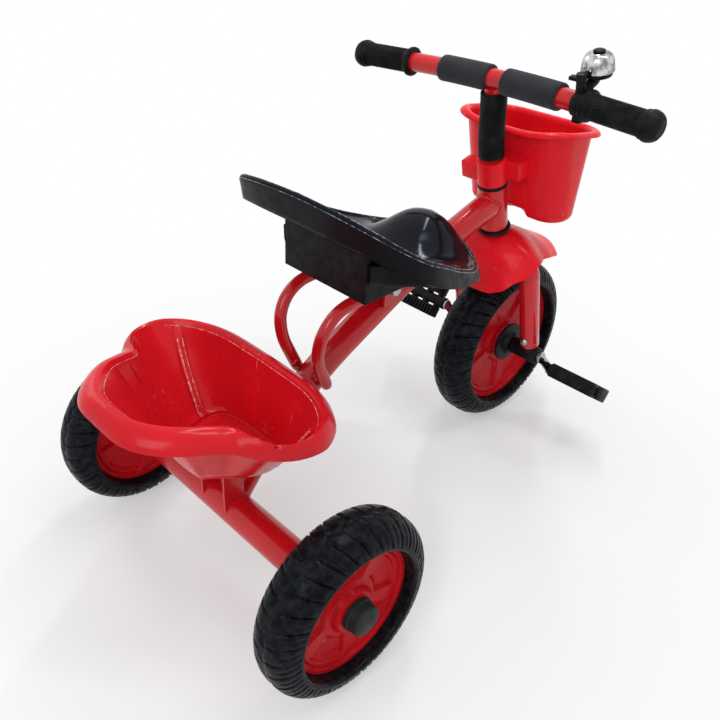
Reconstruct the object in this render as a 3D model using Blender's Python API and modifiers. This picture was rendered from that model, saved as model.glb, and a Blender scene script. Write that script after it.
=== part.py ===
# Child's tricycle: tube frame, bucket seat, two baskets, fork with pedals on the front wheel.
# Metres, +Z up, +Y forward, +X to the rider's right. Lengths are laid out from the rear axle,
# and the whole machine is then moved back by MID_Y so that its box is centred on the origin.

import math

import bmesh
import bpy
from mathutils import Matrix, Vector

# Driving dimensions
GAP = 0.0003
RUNNING = 0.0005

REAR_R = 0.100
FRONT_R = 0.1155
TRACK = 0.3648
WHEELBASE = 0.475
TYRE_HALF_W = 0.0284
TYRE_SHOULDER = 0.0250
TREAD_DEPTH = 0.0035
TREAD_LUGS = 22

RAKE = math.radians(13.48)
FORK_X = 0.054
FORK_TUBE_R = 0.0125
STEM_R = 0.0110
BAR_R = 0.0111
BAR_CENTRE = Vector((0.0, WHEELBASE - 0.0786, FRONT_R + 0.3726))
BAR_SWEEP = 0.0152
BAR_DROOP = 0.0053
BAR_HALF = 0.1960
STRAIGHT_FROM = BAR_HALF - 0.0880
GRIP_LEN = 0.0840
GRIP_IN = {"right": BAR_HALF - 0.0765, "left": BAR_HALF - 0.0802}

MAIN_TUBE_R = 0.0165
HEAD_R = 0.0175
HEAD_BORE = 0.0155
HEAD_LOW_Z = FRONT_R + 0.1845
HEAD_TOP_Z = FRONT_R + 0.2415
BEAM_R = 0.0190
BEAM_BORE = 0.0168
BEAM_HALF = TRACK / 2 - 0.0344
ROD_HALF = TRACK / 2 + 0.0256
CAP_END = TRACK / 2 + 0.0336
LOOP_R = 0.0070
AXLE_ROD_R = 0.0050
CRANK_ROD_R = 0.0055
CRANK_REACH = Vector((0.0, 0.0246, -0.0282))
CRANK_ARM_X = 0.0708

PEDAL_IN = 0.0835
PEDAL_LEN = 0.0736
PEDAL_NECK = 0.0084
PEDAL_NECK_R = 0.0085
PEDAL_W = 0.0540
PEDAL_T = 0.0190
PEDAL_TILT = {"right": -36.3, "left": 54.6}

SEAT_WALL = 0.0030
TUB_WALL = 0.0024
FENDER_WALL = 0.0026

MID_Y = 0.22568

# Colours
RED = (0.60, 0.010, 0.016)
RED_PLASTIC = (0.62, 0.012, 0.020)
BLACK_PLASTIC = (0.012, 0.012, 0.014)
SEAT_BLACK = (0.010, 0.010, 0.013)
TYRE_BLACK = (0.014, 0.014, 0.016)
FOAM_GREY = (0.030, 0.031, 0.034)
CHROME = (0.80, 0.80, 0.80)
STEEL = (0.55, 0.55, 0.56)
CAP_GREY = (0.075, 0.085, 0.080)

for old in list(bpy.data.objects):
    bpy.data.objects.remove(old, do_unlink=True)

parts = bpy.data.collections.new("tricycle")
tools = bpy.data.collections.new("tricycle_cutters")
for collection in (parts, tools):
    bpy.context.scene.collection.children.link(collection)


def material(name, colour, roughness, metallic=0.0):
    found = bpy.data.materials.get(name)
    if found:
        return found
    made = bpy.data.materials.new(name)
    made.use_nodes = True
    shader = made.node_tree.nodes["Principled BSDF"]
    shader.inputs["Base Color"].default_value = (*colour, 1.0)
    shader.inputs["Roughness"].default_value = roughness
    shader.inputs["Metallic"].default_value = metallic
    made.diffuse_color = (*colour, 1.0)
    return made


def finish(obj, look=None, smooth=True, angle=38):
    mesh = obj.data
    if look:
        colour, roughness, metallic = look
        mesh.materials.clear()
        mesh.materials.append(material(obj.name + "_material", colour, roughness, metallic))
    if smooth:
        mesh.shade_smooth()
        mesh.set_sharp_from_angle(angle=math.radians(angle))
    return obj


def place(name, mesh, collection=parts):
    obj = bpy.data.objects.new(name, mesh)
    collection.objects.link(obj)
    if collection is tools:
        obj.hide_render = True
        obj.display_type = "WIRE"
    return obj


def from_bmesh(name, bm, collection=parts, facing=True):
    if facing:
        bmesh.ops.recalc_face_normals(bm, faces=bm.faces[:])
    mesh = bpy.data.meshes.new(name)
    bm.to_mesh(mesh)
    bm.free()
    return place(name, mesh, collection)


def aligned(direction):
    """Rotation that takes local +Z to the direction."""
    return Vector(direction).to_track_quat("Z", "Y").to_matrix().to_4x4()


def turned(name, profile, steps, at=(0, 0, 0), along=(0, 0, 1), closed=False, collection=parts):
    """A (radius, height) profile swept once round the line through `at`."""
    mesh = bpy.data.meshes.new(name)
    count = len(profile)
    edges = [(i, i + 1) for i in range(count - 1)]
    if closed:
        edges.append((count - 1, 0))
    mesh.from_pydata([(r, 0.0, z) for r, z in profile], edges, [])
    obj = place(name, mesh, collection)
    obj.matrix_world = Matrix.Translation(Vector(at)) @ aligned(along)
    screw = obj.modifiers.new("turn", "SCREW")
    screw.steps = screw.render_steps = steps
    screw.use_merge_vertices = True
    screw.merge_threshold = 0.00001
    bpy.context.view_layer.update()
    solid = bpy.data.meshes.new_from_object(obj.evaluated_get(bpy.context.evaluated_depsgraph_get()))
    obj.modifiers.clear()
    obj.data = solid
    return obj


def ring(name, outer, inner, low, high, steps, at, along, collection=parts):
    return turned(name, [(outer, high), (outer, low), (inner, low), (inner, high)], steps, at,
                  along, True, collection)


def rod(name, radius, start, end, steps=16, chamfer=0.0, collection=parts):
    """A round bar from start to end, its edges chamfered."""
    start, end = Vector(start), Vector(end)
    length = (end - start).length
    profile = [(0.0, length), (radius - chamfer, length), (radius, length - chamfer),
               (radius, chamfer), (radius - chamfer, 0.0), (0.0, 0.0)]
    if not chamfer:
        profile = [(0.0, length), (radius, length), (radius, 0.0), (0.0, 0.0)]
    return turned(name, profile, steps, start, end - start, False, collection)


def bent_tube(name, points, radius, sides=12, collection=parts):
    """A bar of round section along the points."""
    curve = bpy.data.curves.new(name + "_line", "CURVE")
    curve.dimensions = "3D"
    curve.bevel_depth = radius
    curve.bevel_resolution = (sides - 4) // 2
    curve.use_fill_caps = True
    line = curve.splines.new("POLY")
    line.points.add(len(points) - 1)
    for knot, point in zip(line.points, points):
        knot.co = (*point, 1.0)
    guide = bpy.data.objects.new(name + "_line", curve)
    tools.objects.link(guide)
    bpy.context.view_layer.update()
    mesh = bpy.data.meshes.new_from_object(guide.evaluated_get(bpy.context.evaluated_depsgraph_get()))
    bpy.data.objects.remove(guide, do_unlink=True)
    bm = bmesh.new()
    bm.from_mesh(mesh)
    bpy.data.meshes.remove(mesh)
    bmesh.ops.remove_doubles(bm, verts=bm.verts, dist=0.00001)
    return from_bmesh(name, bm, collection)


def block(name, low, high, bevel=0.0, segments=2, frame=Matrix.Identity(4), collection=parts):
    """A box between two corners in a frame, its edges rounded."""
    low, high = Vector(low), Vector(high)
    bm = bmesh.new()
    bmesh.ops.create_cube(bm, size=1.0)
    size = high - low
    bmesh.ops.scale(bm, vec=size, verts=bm.verts)
    bmesh.ops.translate(bm, vec=(low + high) / 2, verts=bm.verts)
    obj = from_bmesh(name, bm, collection)
    obj.matrix_world = frame
    if bevel:
        edge = obj.modifiers.new("edges", "BEVEL")
        edge.width = bevel
        edge.segments = segments
        edge.limit_method = "ANGLE"
    return obj


def cut(obj, cutter, operation="DIFFERENCE"):
    step = obj.modifiers.new("cut", "BOOLEAN")
    step.object = cutter
    step.operation = operation
    step.solver = "EXACT"
    return obj


def smooth_line(points, per_span):
    """Points on a smooth curve through the given ones."""
    ends = [points[0] * 2 - points[1], *points, points[-1] * 2 - points[-2]]
    line = []
    for i in range(1, len(ends) - 2):
        a, b, c, d = ends[i - 1 : i + 3]
        for k in range(per_span):
            t = k / per_span
            line.append(0.5 * ((2 * b) + (c - a) * t + (2 * a - 5 * b + 4 * c - d) * t * t
                               + (3 * b - a - 3 * c + d) * t * t * t))
    line.append(points[-1].copy())
    return line


def mirrored_loop(half, per_span):
    """A closed loop from a half outline that starts and ends on the middle plane."""
    line = smooth_line([Vector(p) for p in half], per_span)
    for end in (line[0], line[-1]):
        end.x = 0.0
    other = [Vector((-p.x, p.y, p.z)) for p in reversed(line[1:-1])]
    return line + other


def skin(name, loops, close_first=True, collection=parts):
    """An open surface through closed loops of equal count, its first loop filled."""
    bm = bmesh.new()
    rows = [[bm.verts.new(p) for p in loop] for loop in loops]
    count = len(rows[0])
    for lower, upper in zip(rows[:-1], rows[1:]):
        for i in range(count):
            j = (i + 1) % count
            bm.faces.new((lower[i], lower[j], upper[j], upper[i]))
    if close_first:
        centre = sum((v.co for v in rows[0]), Vector()) / count
        middle = bm.verts.new(centre)
        for i in range(count):
            bm.faces.new((rows[0][(i + 1) % count], rows[0][i], middle))
    mesh = bpy.data.meshes.new(name)
    bm.normal_update()
    bm.to_mesh(mesh)
    bm.free()
    return place(name, mesh, collection)


def shell(obj, thickness, offset=-1.0):
    wall = obj.modifiers.new("wall", "SOLIDIFY")
    wall.thickness = thickness
    wall.offset = offset
    return obj


def outward(loop, distance, rise=0.0):
    """The loop moved out along its own plan normals, and up."""
    count = len(loop)
    centre = sum(loop, Vector()) / count
    moved = []
    for i, point in enumerate(loop):
        run = loop[(i + 1) % count] - loop[i - 1]
        side = Vector((run.y, -run.x, 0.0)).normalized()
        if side.dot(point - centre) < 0:
            side = -side
        moved.append(point + side * distance + Vector((0, 0, rise)))
    return moved


def on_axis(z):
    """Point of the steering axis at a height."""
    return Vector((0.0, WHEELBASE - (z - FRONT_R) * math.tan(RAKE), z))


STEER = Vector((0.0, -math.sin(RAKE), math.cos(RAKE)))
FORE = Vector((0.0, math.cos(RAKE), math.sin(RAKE)))
SIDE = Vector((1.0, 0.0, 0.0))
FRONT_AXLE = Vector((0.0, WHEELBASE, FRONT_R))


def steer_frame(origin):
    frame = Matrix((SIDE, FORE, STEER)).transposed().to_4x4()
    frame.translation = origin
    return frame


# Looks
PAINT = (RED, 0.20, 0.0)
MOULDED_RED = (RED_PLASTIC, 0.28, 0.0)
BLACK = (BLACK_PLASTIC, 0.45, 0.0)
GLOSS_BLACK = (SEAT_BLACK, 0.16, 0.0)
RUBBER = (TYRE_BLACK, 0.62, 0.0)
FOAM = (FOAM_GREY, 0.85, 0.0)
BRIGHT = (CHROME, 0.10, 1.0)
ZINC = (STEEL, 0.32, 1.0)
GREY_CAP = (CAP_GREY, 0.40, 0.0)

bodies = {"frame": Vector((0, 0, 0))}
members = {"frame": []}


def body(name, pivot):
    bodies[name] = Vector(pivot)
    members[name] = []


def join_body(name, *objs):
    members[name].extend(objs)


# Wheels

def tyre(name, radius, seat_r, lip_x):
    """A half-round tyre with two staggered rows of lugs that meet in a zigzag."""
    open_r = radius - TYRE_SHOULDER
    flat = TYRE_HALF_W - TYRE_SHOULDER
    tread = []
    for angle in (4, 32, 60, 86):
        a = math.radians(angle)
        tread.append((flat + TYRE_SHOULDER * math.sin(a), open_r + TYRE_SHOULDER * math.cos(a), angle))
    outer = [(-x, r, a) for x, r, a in reversed(tread)] + tread
    inner = [(lip_x, seat_r, None), (-lip_x, seat_r, None)]
    outline = outer + inner
    per_lug = 2
    stations = TREAD_LUGS * per_lug
    pitch = 2 * math.pi / TREAD_LUGS
    bm = bmesh.new()
    rows = []
    for s in range(stations):
        lug, phase = divmod(s, per_lug)
        fraction = (0.0, 0.45)[phase]
        row = []
        for x, r, a in outline:
            turn = (lug + fraction) * pitch
            depth = 0.0
            if a is not None:
                reach = abs(x) / TYRE_HALF_W
                turn += pitch * (0.34 * reach + (0.5 if x < 0 else 0.0) * min(1.0, reach * 4) * 0.5)
                if phase == 0 and 5 < a < 80:
                    depth = TREAD_DEPTH
            row.append(bm.verts.new((x, (r - depth) * math.cos(turn), (r - depth) * math.sin(turn))))
        rows.append(row)
    width = len(outline)
    for s in range(stations):
        a, b = rows[s], rows[(s + 1) % stations]
        for i in range(width):
            j = (i + 1) % width
            bm.faces.new((a[i], a[j], b[j], b[i]))
    return finish(from_bmesh(name, bm), RUBBER, angle=30)


def hub(name, rim_r, bore_r, half, boss_half, lobes=5, steps=30):
    """A moulded wheel centre, both faces dished, with lobed pockets between its spokes."""
    face = [
        (half, rim_r, 0.0),
        (half, rim_r - 0.008, 0.0),
        (0.0085, rim_r - 0.016, 0.0042),
        (0.0090, bore_r + 0.018, 0.0046),
        (boss_half, bore_r + 0.010, 0.0),
        (boss_half, bore_r, 0.0),
    ]
    outline = face + [(-x, r, d) for x, r, d in reversed(face)]
    bm = bmesh.new()
    rows = []
    for s in range(steps):
        turn = 2 * math.pi * s / steps
        wave = 0.5 + 0.5 * math.cos(lobes * turn)
        pocket = min(1.0, 1.6 * wave)
        row = []
        for x, r, d in outline:
            depth = d * pocket
            row.append(bm.verts.new((x - math.copysign(depth, x), r * math.cos(turn), r * math.sin(turn))))
        rows.append(row)
    width = len(outline)
    for s in range(steps):
        a, b = rows[s], rows[(s + 1) % steps]
        for i in range(width):
            j = (i + 1) % width
            bm.faces.new((a[i], a[j], b[j], b[i]))
    return finish(from_bmesh(name, bm), MOULDED_RED, angle=32)


HUB_HALF = 0.0150
BOSS_HALF = 0.0180
REAR_RIM = 0.0715
FRONT_RIM = FRONT_R - TYRE_SHOULDER - 0.0035
REAR_BORE = 0.0085

for side, sign in (("right", 1), ("left", -1)):
    wheel = "rear_wheel_" + side
    centre = Vector((sign * TRACK / 2, 0.0, REAR_R))
    body(wheel, centre)
    rubber = tyre("rear_tyre_" + side, REAR_R, REAR_RIM + GAP, HUB_HALF + 0.0005)
    rubber.location = centre
    middle = hub("rear_hub_" + side, REAR_RIM, REAR_BORE, HUB_HALF, BOSS_HALF)
    middle.location = centre
    bush = ring("rear_hub_bush_" + side, REAR_BORE - GAP, AXLE_ROD_R + GAP, -BOSS_HALF + 0.001,
                BOSS_HALF - 0.001, 20, centre, SIDE)
    join_body(wheel, rubber, middle, finish(bush, BLACK))
    face = sign * (TRACK / 2 + BOSS_HALF + RUNNING)
    cap_len = CAP_END - abs(face)
    rod_room = ROD_HALF - abs(face) + GAP
    cap = turned("rear_axle_cap_" + side,
                 [(0.0, cap_len), (0.0150, cap_len), (0.0165, cap_len - 0.0015), (0.0165, 0.0060),
                  (0.0180, 0.0050), (0.0180, 0.0), (AXLE_ROD_R + GAP, 0.0),
                  (AXLE_ROD_R + GAP, rod_room), (0.0, rod_room)],
                 18, (face, 0, REAR_R), (sign, 0, 0))
    join_body("frame", finish(cap, GREY_CAP))
    plug_face = TRACK / 2 - BOSS_HALF - RUNNING
    plug = turned("beam_end_plug_" + side,
                  [(0.0125, plug_face - BEAM_HALF + 0.018), (0.0185, 0.0205), (0.0185, 0.018 + GAP),
                   (BEAM_BORE - GAP, 0.018 + GAP), (BEAM_BORE - GAP, 0.0), (AXLE_ROD_R + GAP, 0.0),
                   (AXLE_ROD_R + GAP, plug_face - BEAM_HALF + 0.018)],
                  16, (sign * (BEAM_HALF - 0.018), 0, REAR_R), (sign, 0, 0), True)
    join_body("frame", finish(plug, BLACK))

axle_rod = rod("rear_axle_rod", AXLE_ROD_R, (-ROD_HALF, 0, REAR_R), (ROD_HALF, 0, REAR_R), 14, 0.0008)
join_body("frame", finish(axle_rod, ZINC))

body("front_wheel", FRONT_AXLE)
front_tyre = tyre("front_tyre", FRONT_R, FRONT_RIM + GAP, HUB_HALF + 0.0005)
front_tyre.location = FRONT_AXLE
front_hub = hub("front_hub", FRONT_RIM, CRANK_ROD_R + GAP, HUB_HALF, 0.0165)
front_hub.location = FRONT_AXLE
join_body("front_wheel", front_tyre, front_hub)

# Frame

head_low, head_top = on_axis(HEAD_LOW_Z), on_axis(HEAD_TOP_Z)
head_len = (head_top - head_low).length
head = ring("head_tube", HEAD_R, HEAD_BORE, 0.0, head_len, 28, head_low, STEER)

beam = ring("rear_axle_beam", BEAM_R, BEAM_BORE, -BEAM_HALF, BEAM_HALF, 24, (0, 0, REAR_R), SIDE)
join_body("frame", finish(beam, PAINT), finish(head, PAINT))

# Each point of the main tube: its share of the wheelbase, and its height
main_points = smooth_line([Vector((0, share * WHEELBASE, z)) for share, z in (
    (0.9179, 0.3365), (0.8787, 0.3325), (0.7642, 0.3160), (0.6526, 0.2985), (0.5474, 0.2782),
    (0.4211, 0.2500), (0.2947, 0.2190), (0.1895, 0.1840), (0.1053, 0.1490),
    (0.0421, REAR_R + 0.0140), (0.0084, REAR_R - 0.0060))], 2)
main_tube = bent_tube("main_tube", main_points, MAIN_TUBE_R, 12)
head_cutter = rod("head_cutter", HEAD_R + GAP, head_low - STEER * 0.05, head_top + STEER * 0.05, 28,
                  0, tools)
beam_cutter = rod("beam_cutter", BEAM_R + GAP, (-0.05, 0, REAR_R), (0.05, 0, REAR_R), 24, 0, tools)
front_end = block("front_trim", (-0.05, 0.0, -0.05), (0.05, 0.08, 0.05), 0, 2,
                  steer_frame(on_axis(HEAD_LOW_Z + 0.0300)), tools)
rear_end = block("rear_trim", (-0.05, -0.06, 0.02), (0.05, 0.004, REAR_R + 0.0010), 0, 2,
                 Matrix.Identity(4), tools)
for cutter in (front_end, head_cutter, rear_end, beam_cutter):
    cut(main_tube, cutter)
join_body("frame", finish(main_tube, PAINT))

bush_low = turned("head_bush_lower",
                  [(0.0205, -GAP), (0.0210, -0.0040), (STEM_R + GAP, -0.0040),
                   (STEM_R + GAP, 0.0110), (HEAD_BORE - GAP, 0.0110), (HEAD_BORE - GAP, -GAP)],
                  20, head_low, STEER, True)
bush_top = turned("head_bush_upper",
                  [(0.0180, 0.0042), (0.0182, GAP), (HEAD_BORE - GAP, GAP),
                   (HEAD_BORE - GAP, -0.0110), (STEM_R + GAP, -0.0110), (STEM_R + GAP, 0.0042)],
                  20, head_top, STEER, True)
join_body("frame", finish(bush_low, BLACK), finish(bush_top, BLACK))

# Seat support: two bent tubes that spring from the sides of the main tube
SEAT_PLATE_Z = 0.3178
loop_half = [(0.0239, 0.1260, 0.2060), (0.0239, 0.1195, 0.2200), (0.0250, 0.1130, 0.2350),
             (0.0272, 0.1075, 0.2500), (0.0300, 0.1055, 0.2650), (0.0325, 0.1070, 0.2800),
             (0.0344, 0.1140, 0.2940), (0.0355, 0.1250, 0.3040), (0.0366, 0.1400, 0.3095),
             (0.0370, 0.1600, 0.3108), (0.0370, 0.1850, 0.3108)]
for side, sign in (("right", 1), ("left", -1)):
    line = smooth_line([Vector((sign * x, y, z)) for x, y, z in loop_half], 2)
    loop = bent_tube("seat_loop_" + side, line, LOOP_R, 8)
    join_body("frame", finish(loop, PAINT))

plate = block("seat_plate", (-0.046, 0.142, SEAT_PLATE_Z + GAP), (0.046, 0.246, SEAT_PLATE_Z + 0.0027),
              0.0008, 1)
join_body("frame", finish(plate, PAINT))

# Rear tub: a wide front, a waist and a round lobe behind. Each row holds the floor's edge, the
# inner edge of the rim and the lower edge of its rolled flange, from the back round to the front
TUB_FLOOR_Z = 0.1700
TUB_ROWS = [((0, -0.0470), (0, -0.1200, 0.2850), (0, -0.1368, 0.2730)),
            ((0.012, -0.0468), (0.028, -0.1165, 0.2848), (0.034, -0.1348, 0.2722)),
            ((0.0215, -0.0452), (0.0505, -0.1025, 0.2838), (0.0585, -0.1222, 0.2705)),
            ((0.028, -0.0390), (0.0665, -0.0845, 0.2825), (0.0785, -0.0995, 0.2685)),
            ((0.033, -0.0325), (0.0745, -0.0640, 0.2780), (0.0885, -0.0770, 0.2645)),
            ((0.038, -0.0265), (0.083, -0.0475, 0.2730), (0.0970, -0.0570, 0.2590)),
            ((0.045, -0.0180), (0.105, -0.0405, 0.2700), (0.1150, -0.0400, 0.2550)),
            ((0.052, -0.0070), (0.123, -0.0270, 0.2655), (0.1290, -0.0180, 0.2510)),
            ((0.057, 0.0090), (0.131, -0.0040, 0.2635), (0.1360, 0.0040, 0.2500)),
            ((0.056, 0.0280), (0.126, 0.0180, 0.2630), (0.1330, 0.0240, 0.2490)),
            ((0.047, 0.0410), (0.104, 0.0400, 0.2615), (0.1120, 0.0500, 0.2475)),
            ((0.025, 0.0465), (0.066, 0.0545, 0.2600), (0.0700, 0.0690, 0.2460)),
            ((0, 0.0470), (0, 0.0570, 0.2600), (0, 0.0720, 0.2460))]
floor_loop = mirrored_loop([(x, y, TUB_FLOOR_Z) for (x, y), rim, flange in TUB_ROWS], 2)
rim_loop = mirrored_loop([rim for plan, rim, flange in TUB_ROWS], 2)
flange_loop = mirrored_loop([flange for plan, rim, flange in TUB_ROWS], 2)
tub_loops = [outward(floor_loop, -0.006), [p + Vector((0, 0, 0.004)) for p in floor_loop]]
for t in (0.50, 0.95):
    tub_loops.append([a.lerp(b, t) for a, b in zip(floor_loop, rim_loop)])
tub_loops.append(rim_loop)
tub_loops.append([a.lerp(b, 0.42) + Vector((0, 0, 0.0062)) for a, b in zip(rim_loop, flange_loop)])
tub_loops.append([a.lerp(b, 0.86) + Vector((0, 0, 0.0050)) for a, b in zip(rim_loop, flange_loop)])
tub_loops.append(flange_loop)
rear_basket = shell(skin("rear_basket", tub_loops), TUB_WALL)
for k, (y, z) in enumerate(((-0.0560, 0.2460), (-0.0440, 0.2360))):
    slot = block("slot_cutter_%d" % k, (-0.20, y - 0.0014, z - 0.012), (0.20, y + 0.0014, z + 0.012), 0,
                 2, Matrix.Identity(4), tools)
    cut(rear_basket, slot)
join_body("frame", finish(rear_basket, MOULDED_RED))

# Bracket between the beam and the tub's floor: a top plate with two turned-down legs
BRACKET_HALF = 0.0215
BRACKET_SHEET = 0.0025
bracket_top = TUB_FLOOR_Z - GAP
bracket = block("basket_bracket", (-BRACKET_HALF, -0.018, REAR_R), (BRACKET_HALF, 0.008, bracket_top), 0.0, 1)
under = block("bracket_channel", (BRACKET_SHEET - BRACKET_HALF, -0.06, 0.05),
              (BRACKET_HALF - BRACKET_SHEET, 0.05, bracket_top - BRACKET_SHEET), 0, 1,
              Matrix.Identity(4), tools)
long_beam = rod("bracket_beam_cutter", BEAM_R + GAP, (-0.1, 0, REAR_R), (0.1, 0, REAR_R), 24, 0, tools)
for cutter in (under, long_beam):
    cut(bracket, cutter)
join_body("frame", finish(bracket, BLACK))

# Seat: a moulded bucket, high at the back, with a hump in front
SEAT_LOW = [(0, 0.108, 0.3960), (0.052, 0.108, 0.3955), (0.094, 0.113, 0.3925),
            (0.119, 0.128, 0.3830), (0.131, 0.150, 0.3690), (0.130, 0.180, 0.3530),
            (0.122, 0.212, 0.3390), (0.112, 0.247, 0.3265), (0.096, 0.280, 0.3175),
            (0.070, 0.307, 0.3130), (0.038, 0.327, 0.3140), (0, 0.334, 0.3160)]
SEAT_RIM = [(0, 0.104, 0.4300), (0.052, 0.104, 0.4280), (0.092, 0.110, 0.4210),
            (0.114, 0.126, 0.4070), (0.124, 0.152, 0.3890), (0.122, 0.182, 0.3730),
            (0.115, 0.212, 0.3560), (0.104, 0.250, 0.3380), (0.087, 0.278, 0.3280),
            (0.062, 0.303, 0.3235), (0.034, 0.321, 0.3250), (0, 0.327, 0.3270)]
PAN = Vector((0.0, 0.205, 0.3300))
HUMP = (0.311, 0.0475, 0.0640, 0.0320)
seat_low = mirrored_loop(SEAT_LOW, 2)
seat_rim = mirrored_loop(SEAT_RIM, 2)


def pan_point(rim_point, t):
    point = PAN.lerp(rim_point, t)
    point.z = PAN.z + (rim_point.z - PAN.z) * t ** 1.7
    along, wide, long, high = HUMP
    fall = abs(point.x / wide) ** 2.94 + abs((point.y - along) / long) ** 2.94
    point.z += high * math.exp(-fall) * (1.0 - t ** 11.9)
    return point


seat_loops = [[pan_point(p, t) for p in seat_rim] for t in (0.20, 0.40, 0.58, 0.74, 0.88, 0.96)]
seat_loops.append([p + Vector((0, 0, 0.0022)) for p in seat_rim])
seat_edge = outward(seat_rim, 0.0035)
seat_loops.append([a.lerp(b, 0.06) + Vector((0, 0, 0.0005)) for a, b in zip(seat_edge, seat_low)])
seat_loops.append([a.lerp(b, 0.55) for a, b in zip(seat_edge, seat_low)])
seat_loops.append(seat_low)
seat = skin("seat", seat_loops)
seat.data.flip_normals()
shell(seat, SEAT_WALL, -1.0)
seat_notch = bent_tube("seat_notch_cutter", main_points, MAIN_TUBE_R + 0.0012, 16, tools)
cut(seat, seat_notch)
join_body("frame", finish(seat, GLOSS_BLACK, angle=45))

# Riser that levels the sloping seat on its support: a box open above and below
riser_low = SEAT_PLATE_Z + 0.0027 + GAP
riser = block("seat_riser", (-0.0615, 0.139, riser_low), (0.0615, 0.2060, 0.4100), 0.0, 2)
hollow = block("riser_hollow_cutter", (-0.0585, 0.142, riser_low + 0.003), (0.0585, 0.2030, 0.45), 0, 2,
               Matrix.Identity(4), tools)
bed_drop = Vector((0, 0, -SEAT_WALL * 1.65 - GAP))
bed_loops = [[p + bed_drop for p in loop] for loop in seat_loops[:6]]
bed_loops.append([Vector((p.x, p.y, 0.46)) for p in bed_loops[-1]])
seat_bed = skin("seat_bed_cutter", bed_loops, True, tools)
bm = bmesh.new()
bm.from_mesh(seat_bed.data)
bmesh.ops.holes_fill(bm, edges=bm.edges)
bmesh.ops.recalc_face_normals(bm, faces=bm.faces[:])
bm.to_mesh(seat_bed.data)
bm.free()
cut(riser, hollow)
cut(riser, seat_bed)
join_body("frame", finish(riser, BLACK))

# Strap from the seat plate to the main tube, with its through bolt
STRAP_HALF = 0.0195
STRAP_Y = 0.2300


def tube_height(y):
    """Height of the main tube's middle line at a distance from the rear axle."""
    for fore, aft in zip(main_points[:-1], main_points[1:]):
        if aft.y <= y <= fore.y:
            return fore.lerp(aft, (y - fore.y) / (aft.y - fore.y)).z


strap = block("seat_strap", (-STRAP_HALF, STRAP_Y - 0.0150, tube_height(STRAP_Y) + 0.0055),
              (STRAP_HALF, STRAP_Y + 0.0150, SEAT_PLATE_Z), 0.0, 1)
strap_bore = bent_tube("strap_tube_cutter", main_points, MAIN_TUBE_R + GAP, 12, tools)
strap_slot = block("strap_slot_cutter", (-MAIN_TUBE_R - GAP, 0.18, 0.20),
                   (MAIN_TUBE_R + GAP, 0.26, SEAT_PLATE_Z - 0.0033), 0, 1, Matrix.Identity(4), tools)
cut(strap, strap_slot)
cut(strap, strap_bore)
join_body("frame", finish(strap, PAINT))
BOLT_AT = Vector((0.0, STRAP_Y, tube_height(STRAP_Y) + 0.0235))
BOLT_R = 0.0030
BOLT_HEAD_R = 0.0065
BOLT_GRIP = STRAP_HALF + GAP
seat_bolt = turned("seat_bolt",
                   [(0.0, BOLT_GRIP + 0.0045), (BOLT_HEAD_R - 0.001, BOLT_GRIP + 0.0045),
                    (BOLT_HEAD_R, BOLT_GRIP + 0.0035), (BOLT_HEAD_R, BOLT_GRIP), (BOLT_R, BOLT_GRIP),
                    (BOLT_R, -BOLT_GRIP), (BOLT_HEAD_R, -BOLT_GRIP),
                    (BOLT_HEAD_R, -BOLT_GRIP - 0.0045),
                    (0.0, -BOLT_GRIP - 0.0045)], 12, BOLT_AT, SIDE)
join_body("frame", finish(seat_bolt, ZINC, angle=20))
bolt_bore = rod("seat_bolt_cutter", BOLT_R + GAP, BOLT_AT - SIDE * 0.04, BOLT_AT + SIDE * 0.04, 12, 0,
                tools)
cut(strap, bolt_bore)
basket_bolt = turned("basket_bolt",
                     [(0.0, 0.0050), (0.0040, 0.0042), (0.0070, 0.0012), (0.0070, 0.0), (0.0, 0.0)],
                     16, (0, -0.004, TUB_FLOOR_Z + TUB_WALL + GAP), (0, 0, 1))
join_body("frame", finish(basket_bolt, ZINC))

# Steering
body("steering", on_axis((HEAD_LOW_Z + HEAD_TOP_Z) / 2))

STEM_FOOT_Z = FRONT_R + 0.1585
# Above the clamp the stem leaves the steering axis for the bar: back from the front axle, and up
stem_rise = [Vector((0, WHEELBASE - back, HEAD_TOP_Z + up)) for back, up in (
    (0.0705, 0.0550), (0.0732, 0.0750), (0.0745, 0.0950), (0.0768, 0.1130))]
stem_line = [on_axis(STEM_FOOT_Z), on_axis(HEAD_LOW_Z + 0.0200), on_axis(HEAD_TOP_Z + 0.0030),
             on_axis(HEAD_TOP_Z + 0.0350), *stem_rise, BAR_CENTRE - Vector((0, 0, 0.0116))]
stem = bent_tube("stem", stem_line, STEM_R, 16)
join_body("steering", finish(stem, PAINT))

LEG_LEN_Z = 0.1245
crown_line = [Vector((-x, 0, FRONT_R + LEG_LEN_Z + up)) for x, up in (
    (FORK_X, GAP), (FORK_X, 0.0040), (0.0510, 0.0140), (0.0420, 0.0225), (0.0290, 0.0270),
    (0.0130, 0.0285))]
crown_line += [Vector((-p.x, 0, p.z)) for p in reversed(crown_line)]
crown_line = [Vector((p.x, on_axis(p.z).y, p.z)) for p in crown_line]
crown = bent_tube("fork_crown", crown_line, FORK_TUBE_R, 14)
# The stem stands on a flat milled across the crown
stem_seat = rod("stem_seat_cutter", STEM_R + 0.004, on_axis(STEM_FOOT_Z) - STEER * GAP,
                on_axis(HEAD_LOW_Z + 0.0300), 20, 0, tools)
cut(crown, stem_seat)
join_body("steering", finish(crown, PAINT))

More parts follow.
